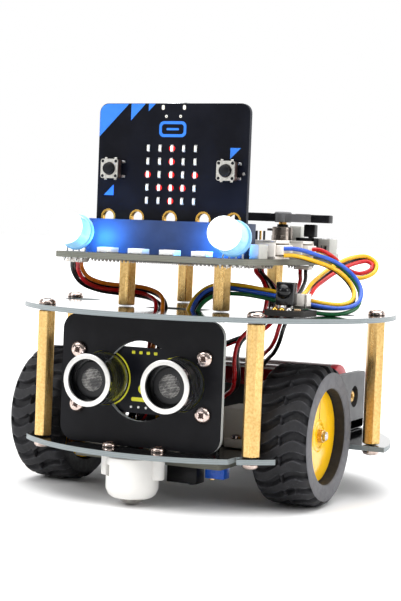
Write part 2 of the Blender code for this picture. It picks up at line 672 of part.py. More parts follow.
def make_sonar():
    width, depth, height = SONAR_BOARD
    front = PANEL_FRONT_Y + DECK_THICKNESS + GAP
    outline = rounded_rectangle((-width / 2, SONAR_Z - height / 2), (width / 2, SONAR_Z + height / 2), 0.001, 2)
    holes = [circle(place, 0.0010, 10) for place in SONAR_SCREWS]
    plate("sonar_board", [outline] + holes, depth, Matrix.Translation((0, front + depth / 2, 0)) @ UPRIGHT,
          "circuit_black")
    cup_radius, cup_depth = SONAR_CUP
    for label, side in SIDES:
        length = front - GAP - SONAR_FRONT_Y
        profile = [
            (0.0, length - cup_depth), (cup_radius, length - cup_depth), (cup_radius, length),
            (SONAR_CAN_RADIUS - 0.0003, length), (SONAR_CAN_RADIUS, length - 0.0003),
            (SONAR_CAN_RADIUS, 0.0), (0.0, 0.0),
        ]
        turned("sonar_can_" + label, profile, 28,
               facing((0, -1, 0), (side * SONAR_PITCH / 2, front - GAP, SONAR_Z)), "steel")


def make_ir_receiver():
    bottom = UPPER_DECK_TOP + GAP
    plate("ir_board", [rounded_rectangle((0.0345, -0.0380), (0.0472, -0.0255), 0.0012, 3),
                       circle((0.0450, -0.0278), 0.0010, 8)],
          0.0018, Matrix.Translation((0, 0, bottom + 0.0009)), "circuit_black")
    base = bottom + 0.0018 + GAP
    body = box("ir_receiver", (0.0371, -0.0352, base + 0.0010), (0.0426, -0.0312, base + 0.0080), "black_plastic")
    bevelled(body, 0.0003)
    builder = bmesh.new()
    bmesh.ops.create_uvsphere(builder, u_segments=12, v_segments=8, radius=0.0022)
    dome = object_from_bmesh("ir_dome", builder, "black_plastic")
    dome.location = (0.03985, -0.0350, base + 0.0052)
    legs = [box(f"ir_leg_{i}", (0.0373 + 0.0021 * i, -0.0335, base), (0.0379 + 0.0021 * i, -0.0329, base + 0.0015),
                "steel") for i in range(3)]
    combine(body, [dome] + legs, "UNION")


# ------------------------------------------------------------------ carrier board and what stands on it
def make_carrier():
    outline = rounded_rectangle((-CARRIER_X, CARRIER_Y[0]), (CARRIER_X, CARRIER_Y[1]), 0.0015, 3)
    plate("carrier_board", [outline] + screw_holes(SHORT_POST_PLACES.values()), DECK_THICKNESS,
          Matrix.Translation((0, 0, CARRIER_BOTTOM + DECK_THICKNESS / 2)), "circuit_black")
    low, high, height = INDUCTOR
    inductor = box("carrier_inductor", (*low, CARRIER_TOP - 0.0002), (*high, CARRIER_TOP + height), "grey_plastic")
    combine(bpy.data.objects["carrier_board"], [inductor], "UNION")
    base = CARRIER_TOP + GAP
    connector = box("edge_connector", (-CONNECTOR_X, CONNECTOR_Y[0], base),
                    (CONNECTOR_X, CONNECTOR_Y[1], CONNECTOR_TOP), "black_plastic")
    slot = box("edge_slot", (-CONTROLLER_SIZE[0] / 2 - GAP, CONTROLLER_FRONT_Y - GAP, CONTROLLER_BOTTOM - GAP),
               (CONTROLLER_SIZE[0] / 2 + GAP, CONTROLLER_FRONT_Y + CONTROLLER_SIZE[1] + GAP, CONNECTOR_TOP + 0.01),
               "black_plastic")
    combine(connector, [slot], "DIFFERENCE")
    for label, side in SIDES:
        make_lamp(label, side)
    # white pin sockets along the left-hand edge, open towards +X
    for name, low_y, high_y in (("front", -0.0272, -0.0142), ("rear", -0.0045, 0.0065)):
        housing = box("socket_" + name, (0.0262, low_y, base), (0.0330, high_y, base + 0.0058), "white_plastic")
        mouth = box(f"socket_mouth_{name}", (0.0292, low_y + 0.0009, base + 0.0009),
                    (0.0340, high_y - 0.0009, base + 0.0049), "white_plastic")
        combine(housing, [mouth], "DIFFERENCE")
    terminal = box("terminal_block", (*TERMINAL_LOW, base), (*TERMINAL_HIGH, base + TERMINAL_HEIGHT), "grey_plastic")
    ledge = box("terminal_ledge", (TERMINAL_LEDGE[0], TERMINAL_LOW[1] + 0.0004, base),
                (TERMINAL_LEDGE[1], TERMINAL_HIGH[1] - 0.0004, base + TERMINAL_LEDGE[2]), "grey_plastic")
    ports = [cylinder(f"terminal_port_{x}", 0.0010, 0.0060, (x, TERMINAL_LOW[1] + 0.0005, base + 0.0036), "y",
                      "grey_plastic", 10) for x in TERMINAL_PORTS]
    combine(terminal, [ledge], "UNION")
    combine(terminal, ports, "DIFFERENCE")
    make_power_switch(base)
    make_knob(base)


def make_lamp(label, side):
    """A round lamp on bent legs: a flange, a barrel and a domed nose, tipped up a little."""
    radius = LAMP_RADIUS
    barrel = LAMP_BARREL
    flange_radius, flange = LAMP_FLANGE
    dome = [(radius * math.sin(math.radians(turn)), barrel + radius * 0.92 * math.cos(math.radians(turn)))
            for turn in range(0, 91, 18)]
    profile = [(0.0, dome[0][1])] + dome[1:] + [(radius, flange), (flange_radius, flange), (flange_radius, 0.0), (0.0, 0.0)]
    direction = (0.0, -math.cos(LAMP_TILT), math.sin(LAMP_TILT))
    base = Vector((side * LAMP_X, *LAMP_BASE))
    lamp = turned("lamp_" + label, profile, 20, facing(direction, base), "lamp_lens")
    foot = CARRIER_TOP + GAP
    legs = [box(f"lamp_leg_{label}_{i}", (base.x - 0.00025 + (i - 1.5) * 0.0021, base.y - 0.0012, foot),
                (base.x + 0.00025 + (i - 1.5) * 0.0021, base.y - 0.0007, base.z - 0.0030), "steel")
            for i in range(4)]
    combine(lamp, legs, "UNION")


def make_power_switch(base):
    body = box("power_switch_body", (*SWITCH_LOW, base), (*SWITCH_HIGH, base + SWITCH_HEIGHT), "black_plastic")
    travel = box("switch_slot", (*SWITCH_SLOT[0], base + 0.0040), (*SWITCH_SLOT[1], base + 0.0080), "black_plastic")
    combine(body, [travel], "DIFFERENCE")
    stem = box("power_switch_lever", (*SWITCH_STEM[0], base + 0.0043), (*SWITCH_STEM[1], base + 0.0080),
               "black_plastic")
    thumb = box("switch_thumb", (*SWITCH_THUMB[0], base + SWITCH_HEIGHT + GAP),
                (*SWITCH_THUMB[1], base + 0.0112), "black_plastic")
    combine(stem, [thumb], "UNION")
    pivot("power_switch_slide", stem.location, [stem])


def make_knob(base):
    x, y = KNOB_AXIS
    shaft_radius = 0.0013
    profile = [(0.0, KNOB_SHAFT_HEIGHT), (shaft_radius, KNOB_SHAFT_HEIGHT), (shaft_radius, KNOB_CAN_HEIGHT),
               (KNOB_CAN_RADIUS - 0.0003, KNOB_CAN_HEIGHT), (KNOB_CAN_RADIUS, KNOB_CAN_HEIGHT - 0.0003),
               (KNOB_CAN_RADIUS, 0.0), (0.0, 0.0)]
    can = turned("knob_base", profile, 20, Matrix.Translation((x, y, base)), "steel")
    tab = box("knob_base_tab", (x - 0.0050, y - 0.0012, base + 0.0088), (x - 0.0030, y + 0.0012, base + 0.0096),
              "steel")
    combine(can, [tab], "UNION")
    hub_low = base + 0.0117
    arm_low = base + 0.0119
    bore = shaft_radius + GAP
    hub = turned("turn_knob", [(0.0, 0.0035), (0.0025, 0.0035), (0.0029, 0.0031), (0.0029, 0.0), (bore, 0.0),
                               (bore, 0.0018), (0.0, 0.0018)], 16,
                 Matrix.Translation((x, y, hub_low)), "black_plastic")
    tip, root, reach = KNOB_ARM
    outline = [(reach, -tip), (reach, tip), (0.003, root), (-0.003, root), (-reach, tip), (-reach, -tip),
               (-0.003, -root), (0.003, -root)]
    arms = plate("knob_arms", [outline], 0.0026, Matrix.Translation((x, y, arm_low + 0.0013)), "black_plastic")
    shaft_room = cylinder("knob_shaft_room", bore, 0.0040, (x, y, hub_low + 0.0018 - 0.0020), "z", "black_plastic", 16)
    combine(hub, [arms], "UNION")
    combine(hub, [shaft_room], "DIFFERENCE")
    pivot("turn_knob_axis", (x, y, arm_low), [hub])


# ------------------------------------------------------------------ plug-in controller board
def make_controller():
    width, depth, height = CONTROLLER_SIZE
    low, top = CONTROLLER_BOTTOM, CONTROLLER_BOTTOM + height
    corner = 0.003
    outline = [(-width / 2, low), (width / 2, low)]
    for centre_x, start in ((width / 2 - corner, 0), (-width / 2 + corner, 90)):
        for step in range(6):
            turn = math.radians(start + 18 * step)
            outline.append((centre_x + corner * math.cos(turn), top - corner + corner * math.sin(turn)))
    holes = [circle((x, low + RING_HOLE_RISE), 0.0020, 12) for x in RING_HOLE_X]
    plate("controller_board", [outline] + holes, depth,
          Matrix.Translation((0, CONTROLLER_FRONT_Y + depth / 2, 0)) @ UPRIGHT, "circuit_black")
    for label, side in (("a", -1), ("b", 1)):
        make_button(label, side * BUTTON_X)
    back = CONTROLLER_FRONT_Y + depth + GAP
    usb = box("usb_socket", (-0.0039, back, top - 0.0058), (0.0039, back + 0.0027, top + 0.0004), "steel")
    mouth = box("usb_mouth", (-0.0033, back + 0.0005, top - 0.0040), (0.0033, back + 0.0022, top + 0.002), "steel")
    combine(usb, [mouth], "DIFFERENCE")
    reset_z = top - 0.0045
    housing = box("reset_button_body", (0.0085, back, reset_z - 0.0018), (0.0125, back + 0.0016, reset_z + 0.0018),
                  "steel")
    seat = cylinder("reset_seat", 0.0012, 0.002, (0.0105, back + 0.0016, reset_z), "y", "steel", 14)
    combine(housing, [seat], "DIFFERENCE")
    cap = cylinder("reset_button_cap", 0.0009, 0.0016, (0.0105, back + 0.0018, reset_z), "y", "black_plastic", 14)
    pivot("reset_button_slide", cap.location, [cap])


def make_button(label, x):
    """A square press button: a steel-fronted body and a round plunger that pushes in along +Y."""
    back = CONTROLLER_FRONT_Y - GAP
    half = BUTTON_SIDE / 2
    body = box(f"button_{label}_body", (x - half, back - 0.0034, BUTTON_Z - half),
               (x + half, back, BUTTON_Z + half), "steel")
    seat = cylinder(f"button_{label}_seat", 0.00175 + GAP, 0.0030, (x, back - 0.0030, BUTTON_Z), "y", "steel", 16)
    combine(bevelled(body, 0.0004), [seat], "DIFFERENCE")
    plunger = cylinder(f"button_{label}_plunger", 0.00175, 0.0028, (x, back - 0.0034, BUTTON_Z), "y",
                       "black_plastic", 16)
    bevelled(plunger, 0.0002)
    pivot(f"button_{label}_slide", plunger.location, [plunger])


# ------------------------------------------------------------------ leads
def smooth_route(points, samples):
    """A Catmull-Rom curve through the points, with a few samples between each two."""
    points = [Vector(point) for point in points]
    padded = [2 * points[0] - points[1]] + points + [2 * points[-1] - points[-2]]
    curve = []
    for i in range(1, len(padded) - 2):
        before, start, end, after = padded[i - 1:i + 3]
        for step in range(samples):
            t = step / samples
            curve.append(0.5 * (2 * start + (end - before) * t
                                + (2 * before - 5 * start + 4 * end - after) * t ** 2
                                + (3 * start - before - 3 * end + after) * t ** 3))
    curve.append(points[-1])
    return curve


def bundle_routes(route, offsets, first_side):
    """Side-by-side copies of a route, carried along it without twisting."""
    curve = smooth_route(route, 1)
    routes = [[] for _ in offsets]
    side = Vector(first_side)
    for i, point in enumerate(curve):
        ahead = (curve[min(i + 1, len(curve) - 1)] - curve[max(i - 1, 0)]).normalized()
        side = (side - ahead * side.dot(ahead)).normalized()
        up = ahead.cross(side)
        for lane, (across, above) in zip(routes, offsets):
            lane.append(point + side * across + up * above)
    return routes


def lead_tube(name, route):
    curve = bpy.data.curves.new(name, "CURVE")
    curve.dimensions = "3D"
    curve.bevel_depth = WIRE_RADIUS
    curve.bevel_resolution = 2
    curve.use_fill_caps = True
    spline = curve.splines.new("POLY")
    points = smooth_route(route, 1)
    spline.points.add(len(points) - 1)
    for point, place in zip(spline.points, points):
        point.co = (*place, 1.0)
    guide = bpy.data.objects.new(name + "_route", curve)
    bpy.context.scene.collection.objects.link(guide)
    return mesh_from_curve(name, guide, "lead_mix")


def make_lead(name, plugs, lanes):
    """One lead as one body: its plug, and each wire let into it, with any second plug."""
    body = box(name, *plugs[0], "white_plastic")
    wires = [lead_tube(f"{name}_wire_{i}", lane) for i, lane in enumerate(lanes)]
    others = [box(f"{name}_plug_{i}", *plug, "white_plastic") for i, plug in enumerate(plugs[1:], 1)]
    combine(body, wires + others, "UNION")
    return body


def square_lanes(spread):
    return [(-spread, -spread), (spread, -spread), (spread, spread), (-spread, spread)]


def make_leads():
    base = CARRIER_TOP + GAP
    under = CARRIER_BOTTOM - GAP
    pair = [(-0.00095, 0.0), (0.00095, 0.0)]
    make_lead("line_sensor_lead",
              [((0.0298, -0.0259, base + 0.0013), (0.0348, -0.0155, base + 0.0045)),
               ((-0.0055, -0.0352, 0.0140), (0.0055, -0.0306, 0.0212))],
              bundle_routes(ROUTE_LINE, square_lanes(0.00105), (0, 1, 0)))
    make_lead("ir_receiver_lead",
              [((0.0298, -0.0030, base + 0.0013), (0.0348, 0.0050, base + 0.0045)),
               ((0.0378, -0.0302, 0.0611), (0.0450, -0.0242, 0.0658))],
              bundle_routes(list(reversed(ROUTE_IR)), [(-0.0009, -0.0006), (0.0009, -0.0006), (0.0, 0.0010)],
                            (0, 1, 0)))
    sonar_back = PANEL_FRONT_Y + DECK_THICKNESS + GAP + SONAR_BOARD[1] + GAP
    make_lead("sonar_lead",
              [((-0.0325, -0.0405, under - 0.0014), (-0.0265, -0.0360, under)),
               ((-0.0062, sonar_back, 0.0280), (0.0042, -0.0402, 0.0326))],
              bundle_routes(ROUTE_SONAR, square_lanes(0.00105), (1, 0, 0)))
    make_lead("motor_lead",
              [((0.0155, -0.0080, under - 0.0014), (0.0215, -0.0005, under))],
              bundle_routes(ROUTE_MOTOR_RIGHT, pair, (0, 1, 0)) + bundle_routes(ROUTE_MOTOR_LEFT, pair, (0, 1, 0)))
    make_lead("battery_lead",
              [((0.0262, 0.0060, under - 0.0014), (0.0318, 0.0100, under)),
               ((0.0126, 0.0056, 0.0316), (0.0184, 0.0078, 0.0346))],
              bundle_routes(ROUTE_BATTERY, pair, (1, 0, 0)))


def build():
    make_decks()
    make_posts()
    make_front_panel()
    for end in CASTER_Y:
        make_caster(end)
    for label, side in SIDES:
        make_drive(label, side)
    make_battery()
    make_line_sensor()
    make_sonar()
    make_ir_receiver()
    make_carrier()
    make_controller()
    make_leads()
    bpy.context.view_layer.update()


build()
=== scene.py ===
import math
import random

import bmesh
import bpy
from mathutils import Matrix, Vector


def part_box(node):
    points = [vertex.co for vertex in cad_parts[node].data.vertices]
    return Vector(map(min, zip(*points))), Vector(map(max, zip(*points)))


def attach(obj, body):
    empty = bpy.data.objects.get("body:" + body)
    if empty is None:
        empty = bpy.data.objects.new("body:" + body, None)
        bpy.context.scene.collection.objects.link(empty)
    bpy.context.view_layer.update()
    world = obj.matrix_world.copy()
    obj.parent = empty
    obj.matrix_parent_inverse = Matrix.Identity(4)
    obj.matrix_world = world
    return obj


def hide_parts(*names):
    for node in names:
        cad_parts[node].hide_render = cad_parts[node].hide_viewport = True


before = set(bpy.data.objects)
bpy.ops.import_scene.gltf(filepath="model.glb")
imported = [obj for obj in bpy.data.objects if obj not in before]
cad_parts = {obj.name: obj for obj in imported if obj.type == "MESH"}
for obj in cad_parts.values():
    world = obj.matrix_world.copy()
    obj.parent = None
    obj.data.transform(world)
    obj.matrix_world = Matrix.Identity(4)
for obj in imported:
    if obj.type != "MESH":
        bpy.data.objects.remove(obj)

# The looks of the two-wheel robot car. Pieces are laid out in millimetres, in the CAD model's
# own frame (+Z up, the front towards -Y, the car's own left on +X), and are made in metres.
MM = 0.001
SIDES = (("right", -1), ("left", 1))
SIDEWAYS = Matrix(((0, 0, 1, 0), (1, 0, 0, 0), (0, 1, 0, 0), (0, 0, 0, 1)))    # a plate's plane to Y and Z
PIN_PITCH = 1.27
SCREW_HOLE = 1.6
SHEET_GAP = 0.02
RESIN_IOR = 1.45
NOISE_ROUGHNESS = 0.55
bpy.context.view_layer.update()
scene = bpy.context.scene


def span(node):
    """The lowest and highest corners of a CAD node, in millimetres."""
    low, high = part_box(node)
    return low / MM, high / MM


def middle(node):
    low, high = span(node)
    return (low + high) / 2


# ------------------------------------------------------------------ materials
class Nodes:
    """A node tree with short ways to add and join its nodes."""

    def __init__(self, tree):
        self.tree = tree
        self.links = tree.links

    def node(self, kind, **settings):
        node = self.tree.nodes.new("ShaderNode" + kind)
        for key, value in settings.items():
            setattr(node, key, value)
        return node

    def math(self, operation, *values):
        node = self.node("Math", operation=operation)
        for socket, value in zip(node.inputs, values):
            if isinstance(value, (int, float)):
                socket.default_value = value
            else:
                self.links.new(value, socket)
        return node.outputs[0]

    def ramp(self, value, low, high, to_low=0.0, to_high=1.0):
        node = self.node("MapRange", interpolation_type="SMOOTHSTEP")
        self.links.new(value, node.inputs["Value"])
        for socket, number in zip(("From Min", "From Max", "To Min", "To Max"),
                                  (low, high, to_low, to_high)):
            node.inputs[socket].default_value = number
        return node.outputs[0]

    def split(self, vector):
        split = self.node("SeparateXYZ")
        self.links.new(vector, split.inputs[0])
        return split.outputs


class Surface(Nodes):
    """A procedural material: a Principled shader with noise in its colour, roughness and bump."""

    def __init__(self, name, colour, roughness, metallic=0.0, specular=0.5, coat=0.0,
                 coat_roughness=0.08):
        self.material = bpy.data.materials.new(name)
        self.material.use_nodes = True
        super().__init__(self.material.node_tree)
        self.shader = self.tree.nodes["Principled BSDF"]
        self.colour = self.fixed_colour(colour)
        self.height = None
        self.set("Roughness", roughness)
        self.set("Metallic", metallic)
        self.set("Specular IOR Level", specular)
        self.set("Coat Weight", coat)
        self.set("Coat Roughness", coat_roughness)
        self.set("IOR", RESIN_IOR)
        self.roughness = roughness

    def set(self, socket, value):
        self.shader.inputs[socket].default_value = value

    def fixed_colour(self, colour):
        node = self.node("RGB")
        node.outputs[0].default_value = (*colour, 1.0)
        return node.outputs[0]

    def place(self, stretch=(1, 1, 1)):
        """Object coordinates, which are the car's own metres, stretched along each axis."""
        mapping = self.node("Mapping")
        mapping.inputs["Scale"].default_value = stretch
        self.links.new(self.node("TexCoord").outputs["Object"], mapping.inputs["Vector"])
        return mapping.outputs[0]

    def axis(self, letter):
        return self.split(self.node("TexCoord").outputs["Object"])[letter]

    def facing(self, letter):
        """A component of the surface's own direction, so that faces and edges can differ."""
        return self.split(self.node("TexCoord").outputs["Normal"])[letter]

    def noise(self, size_mm, detail=3.0, stretch=(1, 1, 1)):
        node = self.node("TexNoise")
        node.inputs["Scale"].default_value = 1.0 / (size_mm * MM)
        node.inputs["Detail"].default_value = detail
        node.inputs["Roughness"].default_value = NOISE_ROUGHNESS
        self.links.new(self.place(stretch), node.inputs["Vector"])
        return node.outputs["Fac"]

    def tint(self, colour, mask):
        """Mix the colour so far with another where the mask is high."""
        mix = self.node("Mix", data_type="RGBA")
        self.links.new(mask, mix.inputs["Factor"])
        self.links.new(self.colour, mix.inputs[6])
        mix.inputs[7].default_value = (*colour, 1.0)
        self.colour = mix.outputs[2]
        return self

    def mottle(self, colour, size_mm, amount=0.5, detail=3.0, stretch=(1, 1, 1)):
        return self.tint(colour, self.ramp(self.noise(size_mm, detail, stretch), 0.35, 0.7, 0.0, amount))

    def worn_edges(self, colour, amount=0.6, width=0.6):
        """Lighter corners: the geometry's pointiness, broken up by noise."""
        point = self.node("NewGeometry").outputs["Pointiness"]
        edge = self.ramp(point, 0.5 + 0.02 * width, 0.5 + 0.08 * width)
        broken = self.math("MULTIPLY", edge, self.ramp(self.noise(0.8, 4.0), 0.3, 0.65, 0.2, amount))
        return self.tint(colour, broken)

    def rough(self, spread, size_mm, stretch=(1, 1, 1)):
        least = max(self.roughness - spread, 0.02)
        value = self.ramp(self.noise(size_mm, 3.0, stretch), 0.25, 0.75, least, self.roughness + spread)
        self.links.new(value, self.shader.inputs["Roughness"])
        return self

    def rough_where(self, mask, other):
        mix = self.math("MULTIPLY_ADD", mask, other - self.roughness, self.roughness)
        self.links.new(mix, self.shader.inputs["Roughness"])
        return self

    def bump(self, value, strength, depth_mm=0.1):
        node = self.node("Bump")
        node.inputs["Strength"].default_value = strength
        node.inputs["Distance"].default_value = depth_mm * MM
        self.links.new(value, node.inputs["Height"])
        if self.height is not None:
            self.links.new(self.height, node.inputs["Normal"])
        self.height = node.outputs[0]
        return self

    def grain(self, size_mm, strength=0.15, depth_mm=0.05, stretch=(1, 1, 1)):
        return self.bump(self.noise(size_mm, 3.0, stretch), strength, depth_mm)

    def glow(self, colour, strength):
        self.set("Emission Color", (*colour, 1.0))
        self.set("Emission Strength", strength)
        return self

    def done(self):
        self.links.new(self.colour, self.shader.inputs["Base Color"])
        if self.height is not None:
            self.links.new(self.height, self.shader.inputs["Normal"])
        return self.material


def rgb(red, green, blue):
    """A screen colour, 0 to 255, as linear light."""
    return tuple(((c / 255 + 0.055) / 1.055) ** 2.4 if c > 10 else c / 255 / 12.92
                 for c in (red, green, blue))


def board_material(name, face, edge, up, roughness, specular=0.5, coat=0.25):
    """A laminate: a smooth face colour on the sides that look along an axis, cut fibre on the edges."""
    surface = Surface(name, face, roughness, specular=specular, coat=coat, coat_roughness=0.06)
    surface.mottle(tuple(c * 1.8 + 0.002 for c in face), 9.0, 0.5, 4.0)
    along = surface.math("ABSOLUTE", surface.facing(up))
    is_edge = surface.ramp(along, 0.55, 0.75, 1.0, 0.0)
    surface.tint(edge, is_edge)
    layers = surface.math("SINE", surface.math("MULTIPLY", surface.axis(up), math.tau / (0.55 * MM)))
    lighter = tuple(min(1.0, c * 1.35 + 0.02) for c in edge)
    surface.tint(lighter, surface.math("MULTIPLY", is_edge, surface.ramp(layers, 0.2, 0.9, 0.0, 0.5)))
    surface.rough_where(is_edge, 0.62)
    surface.grain(0.6, 0.05, 0.02)
    return surface.done()


def metal(name, colour, roughness, dark, size_mm=2.0, stretch=(1, 1, 1), grain=0.08):
    surface = Surface(name, colour, roughness, 1.0)
    surface.mottle(dark, size_mm, 0.55, 4.0, stretch)
    surface.rough(0.08, size_mm, stretch)
    surface.grain(size_mm * 0.25, grain, 0.03, stretch)
    return surface.done()


def plastic(name, colour, roughness, spread=1.25, size_mm=3.0, grain=0.1, coat=0.0, specular=0.5):
    surface = Surface(name, colour, roughness, coat=coat, specular=specular)
    surface.mottle(tuple(min(1.0, c * spread + 0.002) for c in colour), size_mm, 0.6, 4.0)
    surface.rough(0.06, size_mm)
    surface.grain(0.35, grain, 0.03)
    return surface.done()


def brass_material(name, stretch, dull):
    """Drawn brass bar: streaked along its length, spotted with tarnish and brighter on its edges."""
    surface = Surface(name, rgb(206, 160, 88), 0.3, 1.0)
    surface.mottle(rgb(150, 104, 44), 6.0, dull, 3.0, stretch)
    surface.tint(rgb(226, 190, 124), surface.ramp(surface.noise(0.9, 2.0, stretch), 0.55, 0.8, 0.0, 0.35))
    surface.tint(rgb(96, 62, 22), surface.ramp(surface.noise(2.4, 4.0), 0.66, 0.8, 0.0, 0.35))
    surface.worn_edges(rgb(244, 214, 150), 0.6)
    surface.rough(0.08, 1.5, stretch)
    surface.grain(0.4, 0.08, 0.03, stretch)
    return surface.done()


def rubber_material():
    """The tread's rubber: scuffed paler on its high edges and dusty in places."""
    surface = Surface("tyre_rubber", rgb(38, 38, 41), 0.6, specular=0.3)
    surface.mottle(rgb(27, 27, 29), 4.0, 0.7, 5.0)
    surface.tint(rgb(108, 108, 112), surface.ramp(surface.noise(1.1, 5.0), 0.64, 0.74, 0.0, 0.16))
    surface.worn_edges(rgb(86, 86, 90), 0.5, 0.8)
    surface.rough(0.1, 1.5)
    surface.grain(0.25, 0.3, 0.06)
    surface.grain(2.2, 0.2, 0.15)
    return surface.done()


def outer_face_lit_material():
    """The tyre's flat outer ring: paler than the tread, as painted light on the lit outer face, with pale
    dust spots.
    """
    surface = Surface("tyre_side_lit", rgb(96, 96, 100), 0.55, specular=0.4)
    surface.mottle(rgb(80, 80, 84), 2.5, 0.7, 5.0)
    surface.tint(rgb(122, 122, 126), surface.ramp(surface.noise(0.7, 4.0), 0.62, 0.75, 0.0, 0.3))
    surface.rough(0.08, 1.2)
    surface.grain(0.3, 0.3, 0.05)
    return surface.done()


def mesh_material():
    """Woven wire cloth over the transducer: two crossing waves, seen as light wires over dark holes."""
    surface = Surface("transducer_mesh", rgb(26, 26, 28), 0.4, 0.7)
    turns = math.tau / (0.46 * MM)
    slant = surface.math("MULTIPLY", surface.axis("Z"), 0.35)
    across = surface.math("SINE", surface.math("MULTIPLY", surface.math("ADD", surface.axis("X"), slant),
                                               turns))
    upright = surface.math("SINE", surface.math("MULTIPLY", surface.axis("Z"), turns))
    weave = surface.math("MAXIMUM", across, upright)
    surface.tint(rgb(206, 204, 200), surface.ramp(weave, 0.3, 1.0, 0.0, 0.85))
    surface.tint(rgb(52, 52, 54), surface.ramp(surface.noise(2.6, 3.0), 0.42, 0.66, 0.0, 0.75))
    surface.bump(weave, 0.7, 0.12)
    return surface.done()


def lamp_material(name, colour, glow, strength):
    """The resin of a lit 10 mm lamp, faintly clouded."""
    surface = Surface(name, colour, 0.08, specular=0.6, coat=0.5)
    surface.mottle(glow, 2.5, 0.4)
    surface.glow(glow, strength)
    surface.grain(1.5, 0.05, 0.05)
    return surface.done()


def lit(name, colour, strength):
    """A small lamp's glowing face, or the painted glow that a lit lamp throws on the board around it."""
    surface = Surface(name, colour, 0.3)
    surface.mottle(tuple(min(1.0, c * 1.2) for c in colour), 1.0, 0.5)
    surface.glow(colour, strength)
    surface.grain(0.4, 0.05)
    return surface.done()


